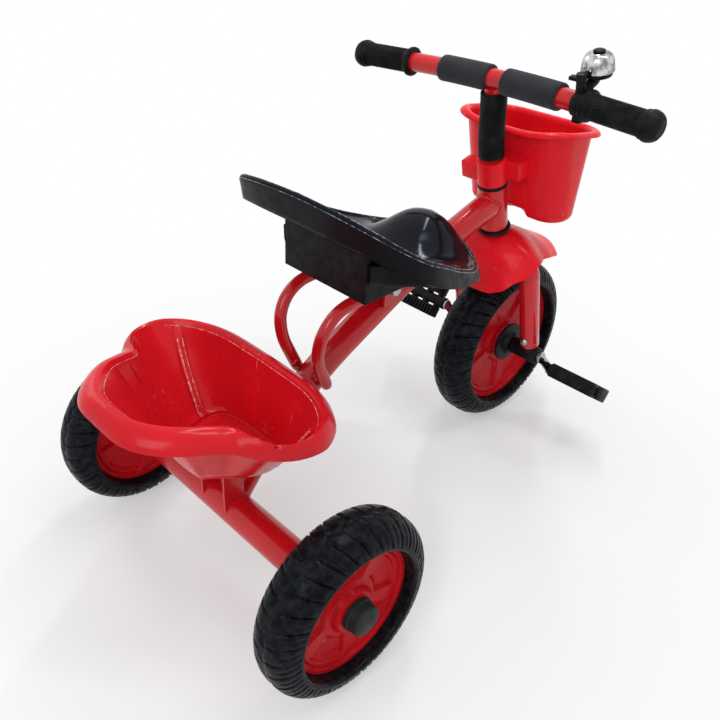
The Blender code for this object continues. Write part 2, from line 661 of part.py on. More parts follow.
LEG_LOW_Z = FRONT_R + 0.0145
BEARING_R = 0.0115
for side, sign in (("right", 1), ("left", -1)):
    shift = SIDE * sign * FORK_X
    low, high = on_axis(LEG_LOW_Z) + shift, on_axis(FRONT_R + LEG_LEN_Z) + shift
    leg_len = (high - low).length
    leg = turned("fork_leg_" + side,
                 [(0.0, leg_len), (FORK_TUBE_R, leg_len), (FORK_TUBE_R, 0.002),
                  (FORK_TUBE_R - 0.002, 0.0), (0.0105, 0.0), (0.0105, 0.020), (0.0, 0.020)],
                 18, low, STEER)
    join_body("steering", finish(leg, PAINT))
    # Bearing: a black housing round the crank axle, with a spigot up the leg's end
    hold = turned("axle_bearing_" + side,
                  [(BEARING_R, 0.0400), (BEARING_R, 0.0020), (BEARING_R - 0.0015, 0.0),
                   (CRANK_ROD_R + GAP, 0.0), (CRANK_ROD_R + GAP, 0.0400)],
                  20, FRONT_AXLE + SIDE * sign * 0.0285, (sign, 0, 0), True)
    spigot = rod("spigot_" + side, 0.0102, FRONT_AXLE + shift + STEER * 0.0080, low + STEER * 0.0195, 16,
                 0, tools)
    cut(hold, spigot, "UNION")
    axle_clear = rod("axle_clear_" + side, CRANK_ROD_R + GAP, FRONT_AXLE + SIDE * sign * 0.020,
                     FRONT_AXLE + SIDE * sign * 0.075, 20, 0, tools)
    cut(hold, axle_clear)
    join_body("steering", finish(hold, BLACK))
    screw_at = low + STEER * 0.0110 - FORE * (FORK_TUBE_R + GAP)
    screw = turned("bearing_screw_" + side,
                   [(0.0, 0.0036), (0.0030, 0.0032), (0.0048, 0.0010), (0.0048, 0.0), (0.0, 0.0)],
                   12, screw_at, -FORE)
    join_body("steering", finish(screw, ZINC))

# Fender: a hood over the crown, from a rear flap to a rounded front lip. Each row: its angle round
# the wheel, its radius in the middle, its half width, and how much nearer its edges are
fender_rows = [(125.5, 0.1330, 0.030, -0.002), (121.5, 0.1420, 0.0455, 0.004), (116, 0.1580, 0.0535, 0.016),
               (110.5, 0.1720, 0.0640, 0.027), (104.5, 0.1805, 0.0674, 0.028), (98.5, 0.1785, 0.0615, 0.030),
               (91, 0.1690, 0.050, 0.030), (82, 0.1575, 0.047, 0.0215), (72, 0.1515, 0.041, 0.0165),
               (64, 0.1485, 0.030, 0.009), (58, 0.1460, 0.0215, 0.004), (53.5, 0.1425, 0.012, 0.001)]
ACROSS = 10
bm = bmesh.new()
grid = []
for angle, radius, half, drop in fender_rows:
    a = math.radians(angle)
    row = []
    for k in range(ACROSS + 1):
        u = -1.0 + 2.0 * k / ACROSS
        u = math.sin(u * math.pi / 2)
        r = radius - drop * abs(u) ** 2.6
        row.append(bm.verts.new((half * u, WHEELBASE + r * math.cos(a), FRONT_R + r * math.sin(a))))
    grid.append(row)
for a, b in zip(grid[:-1], grid[1:]):
    for i in range(ACROSS):
        bm.faces.new((a[i], a[i + 1], b[i + 1], b[i]))
bm.normal_update()
mesh = bpy.data.meshes.new("fender")
bm.to_mesh(mesh)
bm.free()
fender = place("fender", mesh)
if mesh.polygons[len(mesh.polygons) // 2].normal.z < 0:
    mesh.flip_normals()
shell(fender, FENDER_WALL)
fender_hole = rod("fender_hole_cutter", STEM_R + GAP, on_axis(FRONT_R + 0.1445), on_axis(FRONT_R + 0.2045),
                  20, 0, tools)
cut(fender, fender_hole)
join_body("steering", finish(fender, MOULDED_RED, angle=50))

# Handlebar: swept back and drooped a little towards its ends

def bar_point(x):
    k = (x / 0.200) ** 2
    return Vector((x, BAR_CENTRE.y - BAR_SWEEP * k, BAR_CENTRE.z - BAR_DROOP * k))


inner_end = bar_point(STRAIGHT_FROM)
END_RUN = (bar_point(STRAIGHT_FROM + 0.004) - inner_end).normalized()


def bar_end(x, sign):
    point = inner_end + END_RUN * (x - inner_end.x) / END_RUN.x
    return Vector((sign * point.x, point.y, point.z))


bar_line = [bar_point(STRAIGHT_FROM * k / 4) for k in range(-4, 5)]
bar_line = [bar_end(BAR_HALF, -1)] + bar_line + [bar_end(BAR_HALF, 1)]
bar = bent_tube("handlebar", bar_line, BAR_R, 16)
stem_notch = bent_tube("stem_notch_cutter", [stem_line[-3], stem_line[-2], stem_line[-1], BAR_CENTRE],
                       STEM_R + GAP, 16, tools)
bar_cutter = bent_tube("bar_cutter", bar_line, BAR_R + GAP, 16, tools)
cut(stem, bar_cutter)
join_body("steering", finish(bar, PAINT))

PAD_R = 0.0150
for side, low, high in (("left", -0.0722, -0.0052), ("right", 0.0150, 0.0880)):
    line = [bar_point(low + (high - low) * k / 4) for k in range(5)]
    pad = bent_tube("foam_pad_" + side, line, PAD_R, 12)
    cut(pad, bar_cutter)
    cut(pad, stem_notch)
    join_body("steering", finish(pad, FOAM))

SLEEVE_R = 0.0152
sleeve_line = smooth_line([on_axis(HEAD_TOP_Z + 0.0390), *stem_rise[:3],
                           Vector((0, WHEELBASE - 0.0772, HEAD_TOP_Z + 0.1168))], 2)
sleeve = bent_tube("stem_sleeve", sleeve_line, SLEEVE_R, 12)
stem_cutter = bent_tube("stem_cutter", stem_line, STEM_R + GAP, 16, tools)
pad_cutter = bent_tube("pad_cutter", [bar_point(x / 1000) for x in range(-90, 91, 30)], PAD_R + GAP, 12,
                       tools)
cut(sleeve, stem_cutter)
cut(sleeve, pad_cutter)
join_body("steering", finish(sleeve, BLACK))

RIBS = 6
for side, sign in (("right", 1), ("left", -1)):
    at = bar_end(GRIP_IN[side], sign)
    run = Vector((sign * END_RUN.x, END_RUN.y, END_RUN.z))
    length = GRIP_LEN / END_RUN.x
    hole = (BAR_HALF - GRIP_IN[side]) / END_RUN.x + GAP
    profile = [(0.0, length), (0.0100, length - 0.0012), (0.0145, length - 0.0050),
               (0.0162, length - 0.0095), (0.0162, length - 0.0125), (0.0145, length - 0.0150)]
    first, last = length - 0.0175, 0.0085
    for k in range(RIBS):
        z = first + (last - first) * k / (RIBS - 1)
        profile += [(0.0132, z + 0.0016), (0.0124, z - 0.0022)]
    profile += [(0.0150, 0.0062), (0.0170, 0.0048), (0.0170, 0.0006), (0.0164, 0.0),
                (BAR_R + GAP, 0.0), (BAR_R + GAP, hole), (0.0, hole)]
    grip = turned("grip_" + side, profile, 14, at, run)
    join_body("steering", finish(grip, BLACK, angle=50))

# Bell on the right, inboard of the grip
RING_HALF = 0.0058
bell_ring_at = bar_end(GRIP_IN["right"] - RING_HALF - GAP, 1)
clamp = ring("bell_clamp", 0.0140, BAR_R + GAP, -RING_HALF, RING_HALF, 16, bell_ring_at, END_RUN)
BELL_BASE = bell_ring_at + Vector((0.0011, 0.0177, 0.0270))
BELL_UP = Vector((0.0, -0.16, 1.0)).normalized()
post = bent_tube("bell_post_cutter", [bell_ring_at + Vector((-0.0012, 0.0050, 0.0090)),
                                      bell_ring_at + Vector((-0.0012, 0.0100, 0.0165)),
                                      BELL_BASE - BELL_UP * 0.0065 - SIDE * 0.0025,
                                      BELL_BASE - BELL_UP * 0.0024 - SIDE * 0.0025], 0.0055, 8, tools)
LEVER_PIVOT = BELL_BASE + Vector((-0.0030, -0.0232, -0.0010))
boss = rod("bell_boss_cutter", 0.0050, LEVER_PIVOT - BELL_UP * 0.0150, LEVER_PIVOT - BELL_UP * 0.0034, 10,
           0, tools)
cut(clamp, boss, "UNION")
lug = block("bell_lug_cutter", (-0.0055, -0.006, -0.0195), (0.0042, 0.006, -0.0125), 0.001, 1,
            Matrix.Translation(bell_ring_at), tools)
cut(clamp, post, "UNION")
cut(clamp, lug, "UNION")
bell_bar_clear = rod("bell_bar_clear", BAR_R + GAP, bell_ring_at - END_RUN * 0.02,
                     bell_ring_at + END_RUN * 0.02, 16, 0, tools)
cut(clamp, bell_bar_clear)
join_body("steering", finish(clamp, BLACK))
base = turned("bell_base",
              [(0.0, 0.0042), (0.0145, 0.0042), (0.0150, 0.0), (0.0110, -0.0022), (0.0, -0.0022)],
              16, BELL_BASE + BELL_UP * 0.0002, BELL_UP)
join_body("steering", finish(base, BLACK))
dome_at = BELL_BASE + BELL_UP * 0.0050
dome = turned("bell_dome",
              [(0.0036, 0.0187), (0.0090, 0.0184), (0.0138, 0.0157), (0.0158, 0.0113), (0.0165, 0.0052),
               (0.0170, 0.0), (0.0158, 0.0), (0.0153, 0.0052), (0.0146, 0.0108), (0.0128, 0.0145),
               (0.0086, 0.0168), (0.0036, 0.0171)], 18, dome_at, BELL_UP, True)
join_body("steering", finish(dome, BRIGHT))
button = turned("bell_button",
                [(0.0, 0.0220), (0.0050, 0.0212), (0.0062, 0.0198), (0.0062, 0.0191), (0.0033, 0.0191),
                 (0.0033, 0.0), (0.0, 0.0)], 18, dome_at, BELL_UP)
join_body("steering", finish(button, BLACK))
body("bell_thumb", LEVER_PIVOT)
lever = rod("bell_lever", 0.0055, LEVER_PIVOT - BELL_UP * 0.0030, LEVER_PIVOT + BELL_UP * 0.0060, 16,
            0.0006)
tongue = block("lever_tongue_cutter", (-0.0125, -0.0045, -0.0022), (0.0, 0.0030, 0.0018), 0.0008, 1,
               Matrix.Translation(LEVER_PIVOT) @ aligned(BELL_UP), tools)
cut(lever, tongue, "UNION")
join_body("bell_thumb", finish(lever, BLACK))

# Front basket, and the clamp that hangs it on the stem
BASKET_BACK = 0.0285
BASKET_FLOOR_Z = HEAD_TOP_Z - 0.0480


def basket_rim_z(y):
    return HEAD_TOP_Z + 0.0770 - 0.17 * (y - WHEELBASE + 0.057)


def basket_loop(back, front, half, corner, z=None, lift=0.0, count=6):
    """A rounded rectangle in plan, lifted at the middle of its back."""
    loop = []
    for cx, cy, start in ((half - corner, front - corner, 0), (-half + corner, front - corner, 90),
                          (-half + corner, back + corner, 180), (half - corner, back + corner, 270)):
        if start == 270:
            for x, rise in ((-0.028, 0.0), (-0.022, lift), (0.022, lift), (0.028, 0.0)):
                loop.append(Vector((x, back, (basket_rim_z(back) if z is None else z) + rise)))
        for k in range(count):
            a = math.radians(start + 90 * k / (count - 1))
            x, y = cx + corner * math.cos(a), cy + corner * math.sin(a)
            loop.append(Vector((x, y, basket_rim_z(y) if z is None else z)))
    return loop


def wall_y(z):
    return on_axis(z).y + BASKET_BACK / math.cos(RAKE)


rim_back = wall_y(HEAD_TOP_Z + 0.0730)
basket_loops = [basket_loop(wall_y(BASKET_FLOOR_Z) + 0.008, WHEELBASE + 0.0280, 0.0600, 0.0200,
                            BASKET_FLOOR_Z, 0.008),
                basket_loop(wall_y(BASKET_FLOOR_Z + 0.010), WHEELBASE + 0.0360, 0.0700, 0.0270,
                            BASKET_FLOOR_Z + 0.010, 0.008)]
top_loop = basket_loop(rim_back, WHEELBASE + 0.0465, 0.0735, 0.0330)
low_loop = basket_loops[-1]
for t in (0.5, 0.96):
    basket_loops.append([a.lerp(b, t) for a, b in zip(low_loop, top_loop)])
basket_loops.append(top_loop)
basket_loops.append(outward(top_loop, 0.0035, 0.0016))
basket_loops.append(outward(top_loop, 0.0065, -0.0006))
basket_loops.append(outward(top_loop, 0.0072, -0.0042))
front_basket = shell(skin("front_basket", basket_loops), TUB_WALL)
join_body("steering", finish(front_basket, MOULDED_RED))

clamp_at = on_axis(HEAD_TOP_Z + 0.0195)
basket_clamp = ring("basket_clamp", 0.0178, STEM_R + GAP, -0.0155, 0.0155, 24, clamp_at, STEER)
wings = block("clamp_wings_cutter", (-0.0200, 0.0080, -0.0110), (0.0330, BASKET_BACK - GAP, 0.0120),
              0.0015, 1, steer_frame(clamp_at), tools)
lug = block("clamp_lug_cutter", (-0.0370, -0.0120, -0.0140), (-0.0080, 0.0060, 0.0090), 0.0020, 1,
            steer_frame(clamp_at), tools)
stem_clear = rod("clamp_stem_clear", STEM_R + GAP, clamp_at - STEER * 0.0350, clamp_at + STEER * 0.0350, 24,
                 0, tools)
cut(basket_clamp, wings, "UNION")
cut(basket_clamp, lug, "UNION")
cut(basket_clamp, stem_clear)
join_body("steering", finish(basket_clamp, MOULDED_RED))

# Drive: crank axle through the front hub, arms and pedals
ARM_SHEET = 0.0034


def side_frame(sign, second, third, origin):
    """A frame whose first axis points away from the wheel on its side."""
    frame = Matrix((SIDE * sign, second, third)).transposed().to_4x4()
    frame.translation = origin
    return frame


flange_profile = [(0.0270, 0.0030), (0.0270, 0.0), (CRANK_ROD_R + GAP, 0.0), (CRANK_ROD_R + GAP, 0.0105),
                  (0.0140, 0.0105), (0.0160, 0.0045)]
for side, sign in (("right", 1), ("left", -1)):
    flange = turned("hub_flange_" + side, flange_profile, 20,
                    FRONT_AXLE + SIDE * sign * (0.0165 + GAP), (sign, 0, 0), True)
    join_body("front_wheel", finish(flange, BLACK))
crank_axle = rod("crank_axle", CRANK_ROD_R, FRONT_AXLE - SIDE * CRANK_ARM_X,
                 FRONT_AXLE + SIDE * CRANK_ARM_X, 16)
join_body("front_wheel", finish(crank_axle, BRIGHT))
for side, sign in (("right", 1), ("left", -1)):
    reach = CRANK_REACH * sign
    start = FRONT_AXLE + SIDE * sign * (CRANK_ARM_X + GAP)
    tip = start + reach
    arm = rod("crank_arm_" + side, 0.0080, start, start + SIDE * sign * ARM_SHEET, 18)
    tip_disc = rod("arm_tip_" + side, 0.0072, tip, tip + SIDE * sign * ARM_SHEET, 18, 0, tools)
    along = reach.normalized()
    frame = side_frame(sign, along, (SIDE * sign).cross(along), start)
    web = block("arm_web_" + side, (0.0, 0.0, -0.0060), (ARM_SHEET, reach.length, 0.0060), 0, 1, frame,
                tools)
    pin_end = FRONT_AXLE + reach + SIDE * sign * (PEDAL_IN + PEDAL_LEN - 0.0080)
    pin = rod("arm_pin_" + side, 0.0040, tip + SIDE * sign * 0.0010, pin_end, 14, 0.0005, tools)
    for tool in (tip_disc, web, pin):
        cut(arm, tool, "UNION")
    join_body("front_wheel", finish(arm, BRIGHT))

    # Pedal: two treads and a barrel joined by cross bars, turning on the crank's pin
    pedal_body = "pedal_" + side
    centre = FRONT_AXLE + reach
    body(pedal_body, centre + SIDE * sign * (PEDAL_IN + PEDAL_LEN / 2))
    tilt = math.radians(PEDAL_TILT[side])
    flat = Vector((0, math.cos(tilt), math.sin(tilt)))
    frame = side_frame(sign, flat, (SIDE * sign).cross(flat), centre + SIDE * sign * PEDAL_IN)
    pedal = block(pedal_body + "_block", (0.0, -PEDAL_W / 2, -PEDAL_T / 2),
                  (PEDAL_LEN - 0.006, PEDAL_W / 2, PEDAL_T / 2), 0.004, 2, frame)
    neck = rod("pedal_neck_" + side, PEDAL_NECK_R, centre + SIDE * sign * (PEDAL_IN - PEDAL_NECK),
               centre + SIDE * sign * (PEDAL_IN + 0.0050), 16, 0, tools)
    cut(pedal, neck, "UNION")
    for k in range(3):
        for row in (-1, 1):
            x0 = 0.0070 + k * 0.0200
            y0 = 0.0085 if row > 0 else -0.0205
            slot = block("pedal_slot_%s_%d_%d" % (side, k, row), (x0, y0, -0.03),
                         (x0 + 0.0145, y0 + 0.0120, 0.03), 0, 1, frame, tools)
            cut(pedal, slot)
    bore = rod("pedal_bore_" + side, 0.0040 + GAP, centre + SIDE * sign * (PEDAL_IN - 0.01),
               centre + SIDE * sign * (PEDAL_IN + PEDAL_LEN + 0.01), 14, 0, tools)
    cut(pedal, bore)
    cap = block(pedal_body + "_end_cap", (PEDAL_LEN - 0.006 + GAP, -0.0120, -0.0092),
                (PEDAL_LEN, 0.0120, 0.0092), 0.0015, 1, frame)
    join_body(pedal_body, finish(pedal, BLACK, False), finish(cap, GREY_CAP, False))

# Every piece hangs from the empty on its joint's axis
root = bpy.data.objects.new("tricycle_root", None)
root.location = (0.0, -MID_Y, 0.0)
parts.objects.link(root)
bpy.context.view_layer.update()
for name, pivot in bodies.items():
    holder = root
    if name != "frame":
        holder = bpy.data.objects.new(name + "_pivot", None)
        parts.objects.link(holder)
        holder.parent = root
        holder.location = pivot
    for obj in members[name]:
        obj.parent = holder
        obj.location = obj.location - pivot
for obj in tools.objects:
    obj.parent = root
bpy.context.view_layer.update()
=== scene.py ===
# Dressed scene of a child's pedal tricycle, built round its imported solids.
# Lengths are in metres, laid out from the ground below the rear axle as in the part's source:
# +Y forward, +X to the rider's right, +Z up. HOME moves them into the frame.

from math import copysign, cos, exp, pi, radians, sin, sqrt, tan

import bmesh
import bpy
from mathutils import Matrix, Vector


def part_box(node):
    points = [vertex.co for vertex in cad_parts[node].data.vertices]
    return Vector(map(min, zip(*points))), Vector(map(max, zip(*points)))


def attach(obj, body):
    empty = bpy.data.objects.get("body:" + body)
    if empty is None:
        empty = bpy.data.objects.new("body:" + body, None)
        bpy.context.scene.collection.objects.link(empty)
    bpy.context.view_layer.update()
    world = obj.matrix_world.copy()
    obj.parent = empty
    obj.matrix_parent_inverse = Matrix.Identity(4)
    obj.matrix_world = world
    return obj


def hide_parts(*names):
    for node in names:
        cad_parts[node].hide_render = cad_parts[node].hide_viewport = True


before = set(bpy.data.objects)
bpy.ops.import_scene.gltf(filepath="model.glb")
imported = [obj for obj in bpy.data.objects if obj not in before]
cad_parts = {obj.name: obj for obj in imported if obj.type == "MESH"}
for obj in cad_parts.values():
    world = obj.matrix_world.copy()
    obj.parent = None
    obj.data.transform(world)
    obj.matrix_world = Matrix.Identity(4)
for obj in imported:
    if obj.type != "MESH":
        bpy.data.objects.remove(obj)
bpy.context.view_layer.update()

SIDES = (("right", 1), ("left", -1))
# Bore of turned solids that look closed
PINHOLE_R = 0.0001

# Sizes shared with the solids
GAP = 0.0003
HALF_WIDTH = 0.2160
REAR_R = 0.100
FRONT_R = 0.1155
TRACK = 0.3648
WHEELBASE = 0.475
TYRE_HALF_W = 0.0284
TYRE_SHOULDER = 0.0250
HUB_HALF = 0.0150
BOSS_HALF = 0.0180
FRONT_BOSS_HALF = 0.0165
REAR_BORE = 0.0085
REAR_RIM = 0.0715
FRONT_RIM = FRONT_R - TYRE_SHOULDER - 0.0035

RAKE = radians(13.48)
FORK_X = 0.054
FORK_TUBE_R = 0.0125
STEM_R = 0.0110
BAR_R = 0.0111
BAR_CENTRE = Vector((0.0, 0.3964, 0.4881))
BAR_SPAN = 0.2000
BAR_SWEEP = 0.0152
BAR_DROOP = 0.0053
BAR_HALF = 0.1960
STRAIGHT_FROM = 0.1080
GRIP_LEN = 0.0840
GRIP_IN = {"right": 0.1195, "left": 0.1158}

MAIN_TUBE_R = 0.0165
HEAD_R = 0.0175
HEAD_BORE = 0.0155
HEAD_LOW_Z = 0.3000
HEAD_TOP_Z = 0.3570
BEAM_R = 0.0190
BEAM_BORE = 0.0168
BEAM_HALF = 0.148
LOOP_R = 0.0070
AXLE_ROD_R = 0.0050
CRANK_ROD_R = 0.0055
CRANK_REACH = Vector((0.0, 0.0246, -0.0282))
CRANK_ARM_X = 0.0708
PEDAL_IN = 0.0835
PEDAL_LEN = 0.0736
PEDAL_NECK = 0.0084
PEDAL_NECK_R = 0.0085
PEDAL_W = 0.0540
PEDAL_T = 0.0190
PEDAL_TILT = {"right": -36.3, "left": 54.6}
SEAT_WALL = 0.0030
TUB_WALL = 0.0024
FENDER_WALL = 0.0026

# The shift from the layout to the frame, from the middle of the rear axle rod
axle_low, axle_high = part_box("rear_axle_rod")
HOME = Vector((0.0, (axle_low.y + axle_high.y) / 2, 0.0))

SIDE = Vector((1.0, 0.0, 0.0))
STEER = Vector((0.0, -sin(RAKE), cos(RAKE)))
FORE = Vector((0.0, cos(RAKE), sin(RAKE)))
FRONT_AXLE = Vector((0.0, WHEELBASE, FRONT_R))

# Colours, in linear light
RED = (0.58, 0.0070, 0.0120)
MOULDED_RED = (0.82, 0.0100, 0.0200)
# The tub's red is the moulded red darkened: painted shade
SHADED_TUB_RED = (0.66, 0.0085, 0.0165)
# The hubs' red is the moulded red darkened: painted shade for their shaded faces
SHADED_HUB_RED = (0.52, 0.0065, 0.0125)
BLACK = (0.0075, 0.0075, 0.0095)
SEAT_BLACK = (0.0070, 0.0075, 0.0095)
TYRE_BLACK = (0.0035, 0.0038, 0.0052)
TYRE_DUST = (0.012, 0.013, 0.017)
FOAM_GREY = (0.033, 0.034, 0.040)
CAP_GREY = (0.019, 0.023, 0.022)
CHROME = (0.46, 0.46, 0.47)
STEEL = (0.52, 0.52, 0.53)


# Materials

# Sockets of the colour mixer: its two colours and its result
MIX_A, MIX_B, MIX_RESULT = 6, 7, 2


def add_node(tree, kind, inputs=None, **settings):
    """A shader node. Each of its inputs is a value or another node's output."""
    made = tree.nodes.new("ShaderNode" + kind)
    for key, value in settings.items():
        setattr(made, key, value)
    for key, value in (inputs or {}).items():
        if isinstance(value, bpy.types.NodeSocket):
            tree.links.new(value, made.inputs[key])
        else:
            made.inputs[key].default_value = value
    return made


class Recipe:
    """A Principled material, with short calls that add the nodes of its surface."""

    def __init__(self, name, roughness, metallic=0.0, gloss=0.5):
        self.material = bpy.data.materials.new(name)
        self.material.use_nodes = True
        self.shader = self.material.node_tree.nodes["Principled BSDF"]
        self.set("Roughness", roughness)
        self.set("Metallic", metallic)
        self.set("Specular IOR Level", gloss)
        self.place = self.node("TexCoord").outputs["Object"]
        self.relief = {}

    def node(self, kind, inputs=None, **settings):
        return add_node(self.material.node_tree, kind, inputs, **settings)

    def set(self, key, value):
        self.shader.inputs[key].default_value = value

    def link(self, source, key):
        self.material.node_tree.links.new(source, self.shader.inputs[key])

    def noise(self, scale, detail, roughness=0.5, stretch=(1.0, 1.0, 1.0), turn=(0.0, 0.0, 0.0)):
        """Noise that a span, rough or bump call may also give as a tuple of these arguments."""
        where = self.node("Mapping", {"Scale": stretch, "Rotation": turn, "Vector": self.place})
        inputs = {"Scale": scale, "Detail": detail, "Roughness": roughness, "Vector": where.outputs["Vector"]}
        return self.node("TexNoise", inputs).outputs["Fac"]

    def layer(self, value):
        """A node's output as it is, or the noise that a tuple describes."""
        return self.noise(*value) if isinstance(value, tuple) else value

    def cells(self, scale):
        return self.node("TexVoronoi", {"Scale": scale, "Vector": self.place}).outputs["Distance"]

    def span(self, value, low, high, to_low=0.0, to_high=1.0):
        inputs = {"Value": self.layer(value), "From Min": low, "From Max": high, "To Min": to_low,
                  "To Max": to_high}
        return self.node("MapRange", inputs, interpolation_type="SMOOTHSTEP").outputs["Result"]

    def times(self, first, second):
        return self.node("Math", {0: first, 1: second}, operation="MULTIPLY").outputs[0]

    def blend(self, share, first, second):
        """Two colours mixed. Each is a tuple or a node's output."""
        first, second = ((*c, 1.0) if isinstance(c, tuple) else c for c in (first, second))
        inputs = {0: share, MIX_A: first, MIX_B: second}
        return self.node("Mix", inputs, data_type="RGBA").outputs[MIX_RESULT]

    def colour(self, source):
        self.link(source, "Base Color")

    def rough(self, noise, low, high):
        self.link(self.span(noise, 0.3, 0.7, low, high), "Roughness")

    def bump(self, height, distance, strength):
        """Relief on top of what is there already."""
        inputs = {"Height": self.layer(height), "Distance": distance, "Strength": strength, **self.relief}
        self.relief = {"Normal": self.node("Bump", inputs).outputs["Normal"]}
        self.link(self.relief["Normal"], "Normal")


def shade(colour, share):
    return tuple(channel * share for channel in colour)


def pale(colour, share):
    return tuple(channel + (1.0 - channel) * share for channel in colour)


def enamel():
    """Red enamel on steel: a clear coat over colour, orange peel, a few chips and rubbed places."""
    look = Recipe("red_enamel", 0.24, gloss=0.28)
    body = look.blend(look.span((9.0, 3.0), 0.35, 0.65), shade(RED, 0.88), shade(RED, 1.06))
    pale_share = look.times(look.span((170.0, 5.0, 0.7, (1.0, 1.0, 0.25)), 0.66, 0.74),
                     look.span((14.0, 3.0), 0.50, 0.62, 0.0, 0.55))
    look.colour(look.blend(pale_share, body, pale(RED, 0.20)))
    look.rough((40.0, 4.0), 0.17, 0.30)
    look.set("Coat Weight", 0.30)
    look.set("Coat Roughness", 0.06)
    look.bump((420.0, 2.0), 0.00006, 0.5)
    look.bump((60.0, 2.0), 0.00020, 0.3)
    return look.material


def moulded(name, colour, roughness, gloss, coat, scuff, tint=(1.0, 1.0, 1.0)):
    """Moulded plastic: faint flow marks, fine grain and light scratches."""
    look = Recipe(name, roughness, gloss=gloss)
    body = look.blend(look.span((12.0, 3.0, 0.5, (1.0, 1.0, 0.4)), 0.35, 0.65),
                      shade(colour, 0.92), shade(colour, 1.06))
    fine = look.span((620.0, 2.0, 0.5, (1.0, 0.30, 0.05), (0.5, 0.3, 0.0)), 0.70, 0.76)
    across = look.span((560.0, 2.0, 0.5, (0.06, 1.0, 0.35), (0.2, -0.4, 0.5)), 0.71, 0.77)
    worn = look.span((16.0, 3.0), 0.48, 0.64, 0.0, scuff)
    marks = look.times(fine, worn)
    crossing = look.times(across, worn)
    look.colour(look.blend(crossing, look.blend(marks, body, pale(colour, 0.30)), pale(colour, 0.24)))
    look.rough((55.0, 4.0), roughness * 0.78, roughness * 1.25)
    # The specular tint colours the reflections; the seat's bluish one paints bluish room light into them
    look.set("Specular Tint", (*tint, 1.0))
    look.set("Coat Weight", coat)
    look.set("Coat Roughness", 0.10)
    look.bump((900.0, 2.0), 0.00004, 0.5)
    look.bump((150.0, 3.0), 0.00012, 0.4)
    look.bump((38.0, 2.0), 0.00040, 0.25)
    return look.material


def glint_and_wear_edge(name, colour, pale_glint, least):
    """Thin crests with pale dots: painted highlights, and on the tub rubbed wear as well."""
    look = Recipe(name, 0.22)
    pale_share = look.span((240.0, 3.0, 0.6), 0.44, 0.60, least)
    look.colour(look.blend(pale_share, colour, pale_glint))
    look.bump((900.0, 2.0), 0.00004, 0.5)
    return look.material


def satin_black(name="satin_black", colour=BLACK, roughness=0.42, grain=1400.0):
    """Grained black plastic with dust in its low places."""
    look = Recipe(name, roughness, gloss=0.08)
    body = look.blend(look.span((70.0, 5.0, 0.6), 0.35, 0.70), shade(colour, 0.85),
                      pale(colour, 0.010))
    dust = look.span((23.0, 6.0, 0.7), 0.56, 0.78, 0.0, 0.35)
    look.colour(look.blend(dust, body, pale(colour, 0.035)))
    look.rough((90.0, 4.0), roughness * 0.82, roughness * 1.2)
    look.bump((grain, 2.0), 0.00008, 0.6)
    return look.material


def tyre_skin():
    """Hard, shiny tyre plastic: fine grain and a little dust."""
    look = Recipe("tyre_black", 0.26, gloss=0.07)
    # A bluish specular tint paints bluish room light into the tyre's reflections
    look.set("Specular Tint", (0.70, 0.80, 1.0, 1.0))
    body = look.blend(look.span((120.0, 5.0, 0.6), 0.35, 0.70), shade(TYRE_BLACK, 0.8),
                      pale(TYRE_BLACK, 0.012))
    dust = look.times(look.span((46.0, 6.0, 0.75), 0.48, 0.72),
                      look.span((7.0, 3.0), 0.35, 0.65, 0.10, 0.45))
    look.colour(look.blend(dust, body, TYRE_DUST))
    look.rough((150.0, 5.0, 0.6), 0.16, 0.44)
    look.bump((1100.0, 2.0), 0.00010, 0.5)
    look.bump((85.0, 4.0), 0.00030, 0.45)
    return look.material


def foam_skin():
    """Closed-cell foam: dull, pitted with tiny cells, the pits painted darker as painted shade."""
    look = Recipe("foam_grey", 0.88, gloss=0.15)
    pits = look.cells(1500.0)
    body = look.blend(look.span((55.0, 4.0), 0.35, 0.65), shade(FOAM_GREY, 0.82),
                      shade(FOAM_GREY, 1.22))
    # The pits are painted darker: painted shade in the hollows
    look.colour(look.blend(look.span(pits, 0.10, 0.50, 0.0, 0.6), shade(FOAM_GREY, 0.6), body))
    look.set("Sheen Weight", 0.10)
    look.bump(pits, 0.00022, 0.7)
    look.bump((130.0, 3.0), 0.00035, 0.4)
    return look.material


def plated(name, colour, roughness, brushed=False, patches=45.0, tarnish_and_reflection_shade=0.72):
    """Bright plating or zinc, with darker patches: a little tarnish, and on the bell dark reflections painted
    in.
    """
    look = Recipe(name, roughness, metallic=1.0)
    stretch = (1.0, 1.0, 0.06) if brushed else (1.0, 1.0, 1.0)
    look.colour(look.blend(look.span((patches, 5.0, 0.6), 0.40, 0.62), colour, shade(colour, tarnish_and_reflection_shade)))
    look.rough((240.0, 4.0, 0.6, stretch), roughness * 0.6, roughness * 1.7)
    look.bump((500.0, 3.0, 0.5, stretch), 0.00004, 0.5)
    return look.material


